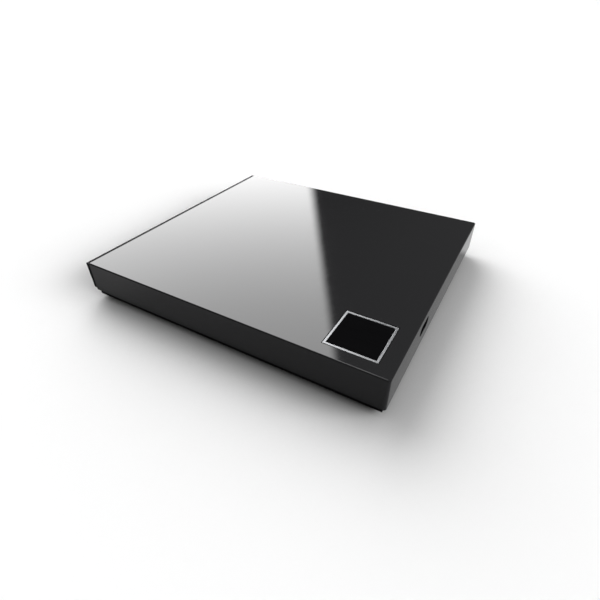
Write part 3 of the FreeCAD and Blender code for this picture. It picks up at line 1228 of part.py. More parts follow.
def flexes():
    """Two flat cables, each folded back on itself under the tray: pan to board, board to pickup."""
    low = ("pan_z", "pan_z + flex_sheet")
    high = ("plate_top_z + 0.25", "plate_top_z + 0.25 + flex_sheet")
    width = ("flex_place - flex_width / 2", "flex_place + flex_width / 2")
    runs = [block("flex_low", width, ("flex_fold_place", "tray_body_rear_y + 7"), low),
            block("flex_high", width, ("flex_fold_place", "board_front_y + 6"), high)]
    middle = f"(({low[0]}) + ({high[1]})) / 2"
    reach = f"(({high[1]}) - ({low[0]})) / 2"
    outer = rod("flex_outer", "x", ("flex_fold_place", middle), width, reach)
    inner = rod("flex_inner", "x", ("flex_fold_place", middle), (f"{width[0]} - 1", f"{width[1]} + 1"),
                f"{reach} - flex_sheet")
    rear = block("flex_rear", (f"{width[0]} - 2", f"{width[1]} + 2"),
                 ("flex_fold_place", "flex_fold_place + 3"), ("pan_z - 1", "plate_top_z + 2"))
    keep(join("flex_pieces", *runs, cut("flex_fold", outer, inner, rear)), "tray_flex")
    low = ("plate_top_z", "plate_top_z + flex_sheet")
    high = ("sled_z - flex_sheet", "sled_z")
    width = ("-3", "3")
    fold = "read_start + 18"
    runs = [block("pickup_low", ("-frame_back - 25", fold), width, low),
            block("pickup_high", ("read_start + 4", fold), width, high)]
    middle = f"(({low[0]}) + ({high[1]})) / 2"
    reach = f"(({high[1]}) - ({low[0]})) / 2"
    outer = rod("pickup_outer", "y", (fold, middle), width, reach)
    inner = rod("pickup_inner", "y", (fold, middle), ("-4", "4"), f"{reach} - flex_sheet")
    rear = block("pickup_rear", (f"{fold} - 3", fold), ("-5", "5"), ("plate_top_z - 1", "sled_z + 1"))
    rise = block("pickup_rise", ("-frame_back - 25", "-frame_back - 25 + flex_sheet"), width,
                 ("plate_top_z", "board_z"))
    keep(turn(join("pickup_pieces", *runs, rise, cut("pickup_fold", outer, inner, rear))), "pickup_flex")


def bridge_posts():
    """The four places where the bridge board stands on the base."""
    front, rear = "bridge_front_y + bridge_post_inset", "bay_y - bridge_post_inset"
    return [(f"{side} * (bridge_half - bridge_post_inset)", place) for place in (front, rear)
            for side in (-1, 1)]


def bridge():
    """The board behind the drive, with the port, the drive's socket and its parts."""
    board = body("bridge_board")
    plan = rect(("-bridge_half", "bridge_half"), ("bridge_front_y", "bridge_rear_y"))
    holes = [(x, y, "bridge_screw_radius + 0.15") for x, y in bridge_posts()]
    pad(board, "slab", sketch(board, "board_plan", "xy", "bridge_z", [plan], holes), "bridge_sheet")
    keep(board, "bridge_board")
    screws = []
    for n, place in enumerate(bridge_posts(), 1):
        head = rod(f"bridge_head_{n}", "z", place, ("bridge_top_z", "bridge_top_z + 0.9"),
                   "bridge_screw_head")
        shank = rod(f"bridge_shank_{n}", "z", place, ("bridge_z - 4", "bridge_top_z + 0.1"),
                    "bridge_screw_radius")
        screws.append(join(f"bridge_screw_{n}", head, shank))
    keep(pack("bridge_screw_set", *screws), "bridge_screws")
    mouth_y, back_y = "shell_inner_y", "shell_inner_y - receptacle_depth"
    low, high = "bridge_top_z", "bridge_top_z + receptacle_height"
    can = block("port_can", ("port_x - receptacle_width / 2", "port_x + receptacle_width / 2"),
                (back_y, mouth_y), (low, high))
    hollow = block("port_hollow", ("port_x - receptacle_width / 2 + receptacle_wall",
                                   "port_x + receptacle_width / 2 - receptacle_wall"),
                   (f"{back_y} + receptacle_wall", f"{mouth_y} + 1"),
                   (f"{low} + receptacle_wall", f"{high} - receptacle_wall"))
    keep(cut("port_part", can, hollow), "usb_port_shell")
    root = block("tongue_root", ("port_x - receptacle_width / 2 + receptacle_wall + screw_gap",
                                 "port_x + receptacle_width / 2 - receptacle_wall - screw_gap"),
                 (f"{back_y} + receptacle_wall", f"{back_y} + receptacle_wall + 1.6"),
                 (f"{low} + receptacle_wall + screw_gap", f"{high} - receptacle_wall - screw_gap"))
    tongue = block("tongue_bar", ("port_x - tongue_half", "port_x + tongue_half"),
                   (f"{back_y} + receptacle_wall + 1", f"{mouth_y} - 1.2"),
                   ("port_level - 0.1", "port_level + 0.9"))
    keep(join("tongue_pieces", root, tongue), "usb_port_tongue")
    chips = [block(f"bridge_chip_{n}", (f"{x} - {half}", f"{x} + {half}"),
                   (f"bridge_front_y + 12 - {half}", f"bridge_front_y + 12 + {half}"),
                   ("bridge_top_z", f"bridge_top_z + {height}"))
             for n, (x, half, height) in enumerate((("-6", "5", "1.2"), ("-26", "2.5", "1.5")), 1)]
    keep(pack("bridge_chip_set", *chips), "bridge_chips")
    cans = [rod(f"can_{n}", "z", (x, "bridge_front_y + 5"), ("bridge_top_z", "bridge_top_z + 4.5"), "2")
            for n, x in enumerate(("18", "24", "-14"), 1)]
    keep(pack("can_group", *cans), "bridge_capacitors")
    keep(block("crystal_can", ("6", "16"), ("bridge_front_y + 14", "bridge_front_y + 18"),
               ("bridge_top_z", "bridge_top_z + 3")), "bridge_crystal")
    shell = block("socket_block", ("plug_place - plug_width / 2 - 2", "plug_place + plug_width / 2 + 2"),
                  ("drive_rear_y + 0.4", "drive_rear_y + 9"), ("connector_top_z - 0.8", "bridge_z"))
    hollow = block("socket_hollow",
                   ("plug_place - plug_width / 2 - 0.2", "plug_place + plug_width / 2 + 0.2"),
                   ("drive_rear_y", "drive_rear_y + plug_reach + 0.2"),
                   ("connector_top_z - 0.2", "connector_top_z + plug_height + 0.2"))
    keep(cut("socket_part", shell, hollow), "bridge_socket")


def check_document():
    """Stops if any object failed, or if a sub-part has no valid shape."""
    doc.recompute()
    for item in doc.Objects:
        if "Invalid" in item.State or "Error" in item.State:
            raise RuntimeError(f"{item.Name} failed: {item.State}")
    for item in PARTS:
        if item.Shape.isNull() or not item.Shape.isValid() or not item.Shape.Solids:
            raise RuntimeError(f"{item.Label} has no valid solid")


def write_parts():
    """Writes each sub-part to a file of its own name."""
    os.makedirs("parts", exist_ok=True)
    for item in PARTS:
        item.Shape.exportStep(os.path.join("parts", f"{item.Label}.step"))
        box = item.Shape.BoundBox
        print(f"{item.Label:20s} solids {len(item.Shape.Solids)} volume {item.Shape.Volume:9.1f} "
              f"x {box.XMin:.2f} {box.XMax:.2f} y {box.YMin:.2f} {box.YMax:.2f} "
              f"z {box.ZMin:.2f} {box.ZMax:.2f}")


fill_sheet()
top_shell()
bottom_shell()
badge()
feet_and_case_screws()
bezel()
front_controls()
tray()
tray_plate_and_screws()
mechanism_cover()
traverse()
damper_set()
spindle()
pickup()
lock()
rails()
drive_box()
drive_rear()
main_board()
flexes()
bridge()
check_document()
write_parts()
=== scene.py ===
"""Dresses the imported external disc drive: materials for every node, finely shaped pieces and the photo stage.

Lengths in the surface code are millimetres; a piece is brought to metres once, when its mesh is made.
"""

import json
import math
from types import SimpleNamespace

import bmesh
import bpy
import numpy as np
from bpy.props import FloatProperty, FloatVectorProperty, PointerProperty
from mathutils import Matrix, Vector


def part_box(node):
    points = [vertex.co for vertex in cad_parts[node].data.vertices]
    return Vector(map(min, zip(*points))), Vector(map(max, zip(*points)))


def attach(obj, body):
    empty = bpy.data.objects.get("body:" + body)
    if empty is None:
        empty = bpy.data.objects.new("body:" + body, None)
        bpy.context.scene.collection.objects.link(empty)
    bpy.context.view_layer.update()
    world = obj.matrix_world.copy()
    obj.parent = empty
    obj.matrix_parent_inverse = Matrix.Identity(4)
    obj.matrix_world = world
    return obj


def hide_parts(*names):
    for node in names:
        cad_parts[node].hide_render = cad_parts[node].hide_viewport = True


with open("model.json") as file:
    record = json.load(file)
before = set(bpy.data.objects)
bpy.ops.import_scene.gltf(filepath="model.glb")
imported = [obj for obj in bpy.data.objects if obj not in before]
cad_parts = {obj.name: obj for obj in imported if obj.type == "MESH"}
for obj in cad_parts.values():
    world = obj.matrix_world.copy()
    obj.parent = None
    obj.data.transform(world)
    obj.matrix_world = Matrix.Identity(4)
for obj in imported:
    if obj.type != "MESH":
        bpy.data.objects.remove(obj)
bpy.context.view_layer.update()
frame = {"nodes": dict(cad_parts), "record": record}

bl_info = {
    "name": "External disc drive",
    "version": (1, 0, 0),
    "blender": (4, 5, 0),
    "location": "View3D > Sidebar > Drive",
    "description": "Dresses the packed disc drive and sets its stage",
    "category": "Object",
}

MM = 0.001

# The disc's middle, and the heading from +X of the pickup's travel outward
DISC = (0.0, -13.5)
SLED_TURN = math.radians(226)

# The lead screw's place across the travel and its height, and the dampers' places along and across it
SCREW_LINE = (19.3, 9.4)
DAMPERS = ((-12.5, 18), (-12.5, -18), (45, -19.6))

# Heights of the bridge board's top and of the tray board's underside and top
BRIDGE_TOP = 12.15
BOARD_UNDER = 8.2
BOARD_TOP = 9.0


# Small helpers for values

def linear(code):
    """The linear colour of an sRGB hex code, with full alpha."""
    parts = np.array([int(code[n:n + 2], 16) / 255 for n in (1, 3, 5)])
    low, high = parts / 12.92, ((parts + 0.055) / 1.055) ** 2.4
    return (*np.where(parts <= 0.04045, low, high).tolist(), 1.0)


def size(name, millimetres, text):
    """A length property given in millimetres and kept in metres."""
    return FloatProperty(name=name, description=text, default=millimetres * MM, unit="LENGTH")


def tint(name, code, text):
    """A colour property given as an sRGB hex code."""
    return FloatVectorProperty(name=name, description=text, default=linear(code), size=4, subtype="COLOR")


def millimetres(group):
    """The group's lengths in millimetres, under the same names."""
    return SimpleNamespace(**{key: getattr(group, key) / MM for key in group.__annotations__})


# Sizes and colours

class DriveSizes(bpy.types.PropertyGroup):
    """Sizes of the pieces that are shaped here."""

    badge_band: size("Badge band", 1.1, "Width of the silver band around the badge")
    badge_corner: size("Badge corner", 0.2, "Outer corner radius of the silver band")
    badge_bevel: size("Badge bevel", 0.12, "Bevel on the band's top edges")
    foot_edge: size("Foot edge", 0.5, "Rounding of a foot's lower edge")
    port_corner: size("Port corner", 1.5, "Corner radius of the receptacle")
    port_wall: size("Port wall", 0.4, "Sheet of the receptacle")
    tongue_half: size("Tongue half width", 3.6, "Half the width of the port's tongue")
    contact_pitch: size("Contact pitch", 0.65, "Distance between the port's contacts")
    contact_width: size("Contact width", 0.35, "Width of one contact")
    spring_wire: size("Spring wire", 0.4, "Wire diameter of the kick-out spring")
    thread_depth: size("Thread depth", 0.22, "Depth of the lead screw's thread")
    thread_lead: size("Thread lead", 3.0, "Travel of the sled for one turn")
    coil_wire: size("Coil wire", 0.22, "Distance between the solenoid's turns")
    leg_pitch: size("Leg pitch", 0.8, "Distance between a chip's legs")
    leg_width: size("Leg width", 0.35, "Width of a chip's leg")
    lens_crown: size("Lens crown", 0.22, "Height of the lens above its rim")


class DriveColours(bpy.types.PropertyGroup):
    """Base colours of the materials."""

    gloss: tint("Gloss black", "#121214", "Polished black plastic of the case")
    front: tint("Front black", "#0c0c0d", "Dull black plastic of the tray's front panel")
    window: tint("Window black", "#101011", "Smoked window of the badge")
    matt: tint("Matt black", "#1a1a1b", "Textured black plastic of the base and tray")
    silver: tint("Satin silver", "#8e8f91", "Anodised band of the badge")
    can: tint("Can aluminium", "#c9cacd", "Sleeves of the capacitors and the crystal")
    steel: tint("Steel", "#a9abae", "Zinc plated sheet")
    bright: tint("Bright steel", "#c4c6c9", "Ground shafts and the port")
    cast: tint("Cast zinc", "#8d8e90", "Body of the pickup")
    white: tint("White resin", "#d6d4cb", "Sliding claws, lever and follower")
    rubber: tint("Rubber", "#222222", "Feet, dampers and the disc ring")
    foam: tint("Foam", "#3c3c3e", "Pads between the drive and the case")
    board: tint("Board", "#0b4a28", "Solder mask over bare board")
    trace: tint("Trace", "#17693a", "Solder mask over copper")
    amber: tint("Amber film", "#8a4a12", "Polyimide film")
    copper: tint("Copper", "#b8693a", "Winding and cable traces")
    glass: tint("Coated glass", "#c9d6f2", "Lens with its purple coat")
    clear: tint("Clear resin", "#cfe3d6", "Light pipe")
    yoke: tint("Yoke", "#4a4a4c", "Blackened yoke over the lens")


class DriveStage(bpy.types.PropertyGroup):
    """Camera, floor and light."""

    lens: FloatProperty(name="Lens", description="Focal length", default=25.0, unit="CAMERA")
    azimuth: FloatProperty(name="Azimuth", description="Camera heading", subtype="ANGLE",
                           default=math.radians(119.926))
    elevation: FloatProperty(name="Elevation", description="Camera height angle", subtype="ANGLE",
                             default=math.radians(36.353))
    ambient: FloatProperty(name="Ambient", description="Light from all round on matt surfaces", default=0.005)
    light: FloatProperty(name="Light", description="Share of the lamps' strengths in use", default=0.985)
    panel: FloatProperty(name="Panel", description="Brightness of the panel seen in gloss", default=5.6)
    dim: FloatProperty(name="Dim", description="Brightness of the room seen in gloss", default=0.4)
    # Painted shade: how much the floor's colour is darkened near the object
    contact: FloatProperty(name="Contact", description="How much the floor darkens near the object",
                           default=0.8)
    floor: tint("Floor", "#fbfbfb", "Pale floor")


# Surfaces on grids of points

def surface(grid, around=True, along=False, caps=True):
    """Quads over a grid of points; around joins the columns, along joins the rows, caps fill the end rows.

    The faces are turned outward by the sign of the enclosed volume.
    """
    rows, columns = grid.shape[:2]
    index = np.arange(rows * columns).reshape(rows, columns)
    if around:
        index = np.concatenate([index, index[:, :1]], axis=1)
    if along:
        index = np.concatenate([index, index[:1]], axis=0)
    quads = np.stack([index[:-1, :-1], index[1:, :-1], index[1:, 1:], index[:-1, 1:]], axis=-1).reshape(-1, 4)
    points = grid.reshape(-1, 3)
    a, b, c, d = (points[quads[:, n]] for n in range(4))
    volume = (np.einsum("ij,ij->i", a, np.cross(b, c)) + np.einsum("ij,ij->i", a, np.cross(c, d))).sum()
    ends = []
    if caps and not along:
        ends = [index[0, :columns], index[-1, :columns][::-1]]
        for end in ends:
            volume += np.einsum("j,ij->i", points[end[0]], np.cross(points[end[1:-1]], points[end[2:]])).sum()
    faces = quads.tolist() + [end.tolist() for end in ends]
    if volume < 0:
        faces = [face[::-1] for face in faces]
    return points, faces


def gather(*shells):
    """Several surfaces as one."""
    points, faces, start = [], [], 0
    for some, polygons in shells:
        points.append(some)
        faces += [[corner + start for corner in polygon] for polygon in polygons]
        start += len(some)
    return np.concatenate(points), faces


def placed(shell, origin, x=(1, 0, 0), y=(0, 1, 0), z=(0, 0, 1)):
    """The surface with its own axes laid along x, y and z from the origin."""
    points, faces = shell
    axes = np.array([x, y, z], float)
    if np.linalg.det(axes) < 0:
        faces = [face[::-1] for face in faces]
    return points @ axes + np.array(origin, float), faces


def copies(shell, origins):
    """The surface repeated at each origin."""
    return gather(*[placed(shell, origin) for origin in origins])


def eased(profile, radius, steps=4):
    """The open profile with each inner corner replaced by a short curve, a quadratic through its corner."""
    profile = np.array(profile, float)
    out = [profile[:1]]
    t = np.linspace(0, 1, steps + 1)[:, None]
    for before, corner, after in zip(profile[:-2], profile[1:-1], profile[2:]):
        back, on = before - corner, after - corner
        start = corner + back * min(1, 2 * radius / np.linalg.norm(back)) / 2
        end = corner + on * min(1, 2 * radius / np.linalg.norm(on)) / 2
        out.append((1 - t) ** 2 * start + 2 * t * (1 - t) * corner + t ** 2 * end)
    out.append(profile[-1:])
    return np.concatenate(out)


def round_z(radius, height, steps):
    """Points carried round the Z axis: x = r cos a, y = r sin a, z = height."""
    angle = np.linspace(0, 2 * np.pi, steps, endpoint=False)
    return np.stack([radius * np.cos(angle), radius * np.sin(angle), height + 0 * angle], axis=-1)


def turned(profile, steps=48, closed=False):
    """A profile of (radius, height) carried round the Z axis."""
    profile = np.array(profile, float)
    return surface(round_z(profile[:, :1], profile[:, 1:], steps), along=closed)


def quarters(steps):
    """The angles of a circle's four quarters, and the signs of x and of y in each."""
    quarter = np.linspace(0, np.pi / 2, steps + 1)
    angle = np.concatenate([quarter + turn * np.pi / 2 for turn in range(4)])
    return angle, np.repeat([1, -1, -1, 1], steps + 1), np.repeat([1, 1, -1, -1], steps + 1)


def band(half_x, half_y, corner, section, closed=True):
    """A section of (offset, height) carried round a rectangle; its corners widen with the offset."""
    angle, side_x, side_y = quarters(steps=5)
    section = np.array(section, float)
    offset, height = section[:, :1], section[:, 1:]
    bend = np.maximum(corner + offset, 0.02)
    x = side_x * (half_x + offset - bend) + bend * np.cos(angle)
    y = side_y * (half_y + offset - bend) + bend * np.sin(angle)
    return surface(np.stack([x, y, height + 0 * x], axis=-1), along=closed)


def pillow(low, high, radius, steps=3):
    """A block with round edges: a sphere's points, each moved out to the corner of its own eighth."""
    low, high = np.array(low, float), np.array(high, float)
    half = (high - low) / 2
    radius = min(radius, *half)
    angle, side_x, side_y = quarters(steps)
    quarter = angle[:steps + 1]
    rise = np.concatenate([-quarter[::-1], quarter])[:, None]
    up = np.repeat([-1, 1], steps + 1)[:, None]
    x = side_x * (half[0] - radius) + radius * np.cos(rise) * np.cos(angle)
    y = side_y * (half[1] - radius) + radius * np.cos(rise) * np.sin(angle)
    z = up * (half[2] - radius) + radius * np.sin(rise) + 0 * angle
    return surface(np.stack([x, y, z], axis=-1) + (low + high) / 2)


def slab(half_x, half_y, corner, low, high, edge):
    """A flat block with round corners and eased upper and lower edges."""
    section = eased([(-half_y / 2, low), (0, low), (0, high), (-half_y / 2, high)], edge)
    return band(half_x, half_y, corner, section, closed=False)


def helix(radius, wire, turns, length, steps=26, sides=10):
    """A wire wound round the Z axis: its middle is (r cos a, r sin a, h(a)), its section a circle.

    The height h stays flat for three quarters of a turn at each end and rises evenly between.
    """
    flat = 0.75
    a = np.linspace(0, 2 * np.pi * turns, int(steps * turns) + 1)[:, None]
    b = np.linspace(0, 2 * np.pi, sides, endpoint=False)
    rise = np.clip((a / (2 * np.pi) - flat) / (turns - 2 * flat), 0, 1)
    reach = radius + wire / 2 * np.cos(b)
    z = rise * length + wire / 2 * np.sin(b)
    return surface(np.stack([reach * np.cos(a), reach * np.sin(a), z + 0 * a], axis=-1))


def ramp(value):
    """A smooth step from 0 at 0 to 1 at 1."""
    t = np.clip(value, 0, 1)
    return t * t * (3 - 2 * t)


def screw(head, height, shank, length):
    """A screw with its head up: a turned profile whose top rings sink into a cross.

    The cross has two arms, each a product of smooth steps in x and in y, and is deepest at its middle.
    """
    side = eased([(head * 0.55, 0), (head, 0), (head, height * 0.75), (head * 0.8, height)], height * 0.3)
    top = np.stack([np.linspace(head * 0.8, 0, 14), np.full(14, height)], axis=-1)
    profile = np.concatenate([[(0, -length), (shank * 0.7, -length), (shank, -length + 0.4), (shank, 0)],
                              side, top[1:]])
    radius = profile[:, :1]
    grid = round_z(radius, profile[:, 1:], steps=48)
    x, y = grid[..., 0], grid[..., 1]
    wide, long, blur, recess = head * 0.11, head * 0.62, head * 0.07, 0.55
    arms = [ramp((wide - abs(a)) / blur + 0.5) * ramp((long - abs(b)) / blur + 0.5)
            for a, b in ((x, y), (y, x))]
    sink = np.maximum(*arms) * recess * height * (1 - 0.5 * radius / long)
    grid[-len(top):, :, 2] -= sink[-len(top):]
    return surface(grid)


# Pieces

def linked(name, data):
    """A new object in the scene."""
    thing = bpy.data.objects.new(name, data)
    bpy.context.scene.collection.objects.link(thing)
    return thing


def piece(name, shell, slot, body, *nodes, angle=35):
    """A mesh in metres that rides on a body, wears a slot's material and stands for the nodes."""
    points, faces = shell
    mesh = bpy.data.meshes.new(name)
    mesh.from_pydata((points * MM).tolist(), [], faces)
    work = bmesh.new()
    work.from_mesh(mesh)
    bmesh.ops.remove_doubles(work, verts=work.verts, dist=1e-7)
    work.to_mesh(mesh)
    work.free()
    mesh.shade_smooth()
    mesh.set_sharp_from_angle(angle=math.radians(angle))
    mesh.materials.append(finish(slot))
    thing = linked(name, mesh)
    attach(thing, body)
    if nodes:
        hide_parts(*nodes)
    return thing


def levels(node):
    """A node's lowest and highest corners in millimetres."""
    low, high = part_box(node)
    return np.array(low) / MM, np.array(high) / MM


def sled_axes():
    """The pickup's own axes: along its travel, across it and up."""
    along = (math.cos(SLED_TURN), math.sin(SLED_TURN), 0)
    across = (-math.sin(SLED_TURN), math.cos(SLED_TURN), 0)
    return along, across, (0, 0, 1)


def at_sled(u, v, z):
    """A point given along and across the pickup's travel."""
    along, across, up = (np.array(axis) for axis in sled_axes())
    return np.array((*DISC, 0)) + u * along + v * across + z * up


# Materials

SHADER = "Principled BSDF"


def feed(tree, node, feeds):
    """Feeds the node's inputs with sockets, with the first outputs of nodes or with plain values."""
    for key, value in feeds.items():
        if isinstance(value, bpy.types.Node):
            value = value.outputs[0]
        if isinstance(value, bpy.types.NodeSocket):
            tree.links.new(value, node.inputs[key])
        else:
            node.inputs[key].default_value = value


def add(tree, kind, feeds=None, **settings):
    """Adds a shader node with its settings and feeds its inputs."""
    node = tree.nodes.new("ShaderNode" + kind)
    for key, value in settings.items():
        setattr(node, key, value)
    feed(tree, node, feeds or {})
    return node


def base(tree, colour, roughness, **constants):
    """Sets the shader's colour, roughness and other constants."""
    named = {key.replace("_", " "): value for key, value in constants.items()}
    feed(tree, tree.nodes[SHADER], {"Base Color": colour, "Roughness": roughness, **named})


def pattern(tree, pitch, turn=0.0, stretch=(1, 1, 1)):
    """Object coordinates in units of the pitch in millimetres, turned about Z and stretched."""
    coords = add(tree, "TexCoord").outputs["Object"]
    scale = tuple(1 / (pitch * MM * part) for part in stretch)
    turned_to = add(tree, "Mapping", {"Vector": coords, "Rotation": (0, 0, turn)})
    return add(tree, "Mapping", {"Vector": turned_to, "Scale": scale})


def cloud(tree, pitch, detail=2.0, turn=0.0, stretch=(1, 1, 1)):
    """Smooth noise over the object, from 0 to 1, with lumps about as wide as the pitch in millimetres.

    Real hairlines, drawing lines, spark texture and blasting are too fine to show at 0.01 to 0.1 mm, so they
    are drawn 0.2 to 0.6 mm wide.
    """
    where = pattern(tree, pitch, turn, stretch)
    return add(tree, "TexNoise", {"Vector": where, "Scale": 1.0, "Detail": detail})


def shaded(colour, share):
    """The colour times the share, with full alpha."""
    return tuple(part * share for part in colour[:3]) + (1.0,)


def spread(tree, value, start, end, low=0.0, high=1.0, **settings):
    """Goes from low to high while the value goes from start to end, and stays level beyond."""
    feeds = {"Value": value, "From Min": start, "From Max": end, "To Min": low, "To Max": high}
    return add(tree, "MapRange", feeds, **settings)


def mix(tree, share, first, second):
    """The first value where the share is 0 and the second where it is 1."""
    return add(tree, "Mix", {0: share, 2: first, 3: second})


def reckon(tree, kind, *values):
    """The values reckoned up by a Math node of this kind."""
    return add(tree, "Math", dict(enumerate(values)), operation=kind)


def vary(tree, value, roughness=None, span=(0.3, 0.7), colours=None, depth=None, strength=1.0):
    """Lets a pattern vary the shader's roughness, colour or height, whichever are given; depth is in mm."""
    shader = tree.nodes[SHADER]
    if roughness:
        rough = spread(tree, value, *span, *roughness)
        feed(tree, shader, {"Roughness": rough})
    if colours:
        blend = add(tree, "Mix", {0: value, 6: colours[0], 7: colours[1]}, data_type="RGBA")
        feed(tree, shader, {"Base Color": blend.outputs[2]})
    if depth:
        relief = add(tree, "Bump", {"Height": value, "Distance": depth * MM, "Strength": strength})
        feed(tree, shader, {"Normal": relief})


def gloss_plastic(tree, colours):
    """Piano black: a mirror with the faint waviness of moulding and hairlines that only soften it."""
    base(tree, colours.gloss, 0.05, IOR=1.5)
    hairlines = cloud(tree, 0.6, 1.0, turn=0.4, stretch=(30, 1, 1))
    vary(tree, hairlines, roughness=(0.035, 0.07))
    vary(tree, cloud(tree, 9.0, 0.0), depth=0.004)


def matt_plastic(tree, colours, colour=None, pitch=0.35, roughness=0.5):
    """Spark textured plastic: fine grain in the surface, a little uneven in its shine."""
    base(tree, colour or colours.matt, roughness, IOR=1.5)
    grain = cloud(tree, pitch, 3.0)
    vary(tree, grain, roughness=(roughness - 0.08, roughness + 0.1), depth=0.03, strength=0.5)


def resin(tree, colours):
    """Moulded acetal: smooth and white, slightly waxy and uneven in tone."""
    base(tree, colours.white, 0.38, IOR=1.53, Subsurface_Weight=0.05)
    vary(tree, cloud(tree, 2.5, 3.0), colours=(shaded(colours.white, 0.9), colours.white))
    vary(tree, cloud(tree, 0.4), depth=0.01, strength=0.4)


def brushed(tree, colours, colour=None, roughness=0.28):
    """Drawn steel: fine lines along one way that stretch the highlights across them."""
    base(tree, colour or colours.steel, roughness, Metallic=1.0)
    lines = cloud(tree, 0.5, 3.0, stretch=(40, 0.5, 0.5))
    vary(tree, lines, roughness=(roughness - 0.07, roughness + 0.12), depth=0.008, strength=0.5)


def plated(tree, colours):
    """Zinc plated sheet: pale flakes of slightly different tone and shine under fine rolling marks."""
    base(tree, colours.steel, 0.36, Metallic=1.0)
    flakes = add(tree, "TexVoronoi", {"Vector": pattern(tree, 3.5, 0.3)}).outputs["Color"]
    tone = add(tree, "SeparateColor", {"Color": flakes})
    tones = (shaded(colours.steel, 0.8), colours.steel)
    vary(tree, tone, roughness=(0.3, 0.44), span=(0, 1), colours=tones)
    vary(tree, cloud(tree, 0.5, stretch=(20, 1, 1)), depth=0.006, strength=0.4)


def satin(tree, colours, colour=None, roughness=0.36):
    """Blasted and anodised aluminium: an even satin."""
    base(tree, colour or colours.silver, roughness, Metallic=1.0)
    grain = cloud(tree, 0.18)
    vary(tree, grain, roughness=(roughness - 0.05, roughness + 0.07), depth=0.002, strength=0.3)


def cast(tree, colours):
    """Die cast zinc: dull, faintly pitted and cloudy."""
    base(tree, colours.cast, 0.45, Metallic=1.0)
    vary(tree, cloud(tree, 4.0, 4.0), colours=(shaded(colours.cast, 0.75), colours.cast))
    vary(tree, cloud(tree, 0.5, 3.0), depth=0.02, strength=0.5)


def painted(tree, colours):
    """Satin black powder paint on sheet, with a fine grain that breaks up its shine."""
    base(tree, colours.matt, 0.4, Coat_Weight=0.2, Coat_Roughness=0.3)
    vary(tree, cloud(tree, 0.3), roughness=(0.34, 0.48), depth=0.012, strength=0.5)


def rubber(tree, colours):
    """Soft rubber: dull, dusty in paler patches at random, with a fine skin."""
    base(tree, colours.rubber, 0.75, IOR=1.52, Sheen_Weight=0.15)
    skin = cloud(tree, 0.5, 4.0)
    vary(tree, skin, colours=(colours.rubber, shaded(colours.rubber, 1.7)), depth=0.02, strength=0.6)


def foam(tree, colours):
    """Open foam: round pore holes of 0.7 mm, painted dark as the shade inside them."""
    base(tree, colours.foam, 0.95)
    cells = add(tree, "TexVoronoi", {"Vector": pattern(tree, 0.7)})
    # Painted shade: the pore holes' colour goes to near black, and the same mask sinks them
    pore_relief_and_shade = spread(tree, cells, 0.1, 0.5)
    vary(tree, pore_relief_and_shade, colours=(linear("#0d0d0d"), colours.foam), depth=0.25)


def board(tree, colours):
    """Green lacquered board: straight and stepped copper traces show paler through the lacquer."""
    base(tree, colours.board, 0.3, IOR=1.5, Coat_Weight=0.4, Coat_Roughness=0.12)
    cells = add(tree, "TexVoronoi", {"Vector": pattern(tree, 2.4)}, distance="MANHATTAN")
    bands = reckon(tree, "MULTIPLY", cells, 9.0)
    waves = reckon(tree, "SINE", bands)
    traces = spread(tree, waves, 0.1, 0.3)
    vary(tree, traces, colours=(colours.board, colours.trace), depth=0.03, strength=0.6)


def flex(tree, colours):
    """Polyimide cable: amber film with copper lines below it, drawn coarser than the real 0.5 mm pitch."""
    base(tree, colours.amber, 0.3, IOR=1.6, Coat_Weight=0.5, Coat_Roughness=0.15)
    waves = add(tree, "TexWave", {"Vector": pattern(tree, 1.6), "Scale": 1.0}, bands_direction="X")
    lines = waves.outputs["Fac"]
    copper = spread(tree, lines, 0.45, 0.6)
    vary(tree, copper, colours=(colours.amber, colours.copper), depth=0.02, strength=0.6)
    metal = spread(tree, copper, 0, 1, 0.1, 0.6)
    feed(tree, tree.nodes[SHADER], {"Metallic": metal})


def winding(tree, colours):
    """Enamelled copper wire: warm metal, darker in random patches."""
    base(tree, colours.copper, 0.3, Metallic=1.0, Coat_Weight=0.4)
    vary(tree, cloud(tree, 0.8, 3.0), colours=(shaded(colours.copper, 0.55), colours.copper))


def glass(tree, colours):
    """Coated lens: clear, with the purple cast of its coat."""
    base(tree, colours.glass, 0.02, IOR=1.52, Transmission_Weight=0.9, Coat_Weight=0.6,
         Coat_Tint=linear("#8f7bff"))
    vary(tree, cloud(tree, 1.5), roughness=(0.01, 0.04))


def clear_resin(tree, colours):
    """Moulded acrylic light pipe: clear, with a frost that varies at random over it."""
    base(tree, colours.clear, 0.2, IOR=1.49, Transmission_Weight=0.8)
    vary(tree, cloud(tree, 0.6, 3.0), roughness=(0.12, 0.35))


def window(tree, colours):
    """Smoked window with a coat that kills reflections: near black, with faint darker streaks in its colour
    that run along Y.
    """
    base(tree, colours.window, 0.3, IOR=1.5, Specular_IOR_Level=0.0)
    streaks = cloud(tree, 1.2, stretch=(1, 14, 14))
    vary(tree, streaks, colours=(shaded(colours.window, 0.6), colours.window))


def dull_plastic(tree, colours):
    """Etched black plastic of the tray's front panel and the base: it hardly mirrors the room."""
    base(tree, colours.front, 0.6, IOR=1.5, Specular_IOR_Level=0.05)
    vary(tree, cloud(tree, 0.3, 3.0), roughness=(0.52, 0.7), depth=0.02, strength=0.5)


def chip_resin(tree, colours):
    """Moulded epoxy of a chip: dark grey, finely grained."""
    matt_plastic(tree, colours, linear("#202022"), 0.2, 0.6)


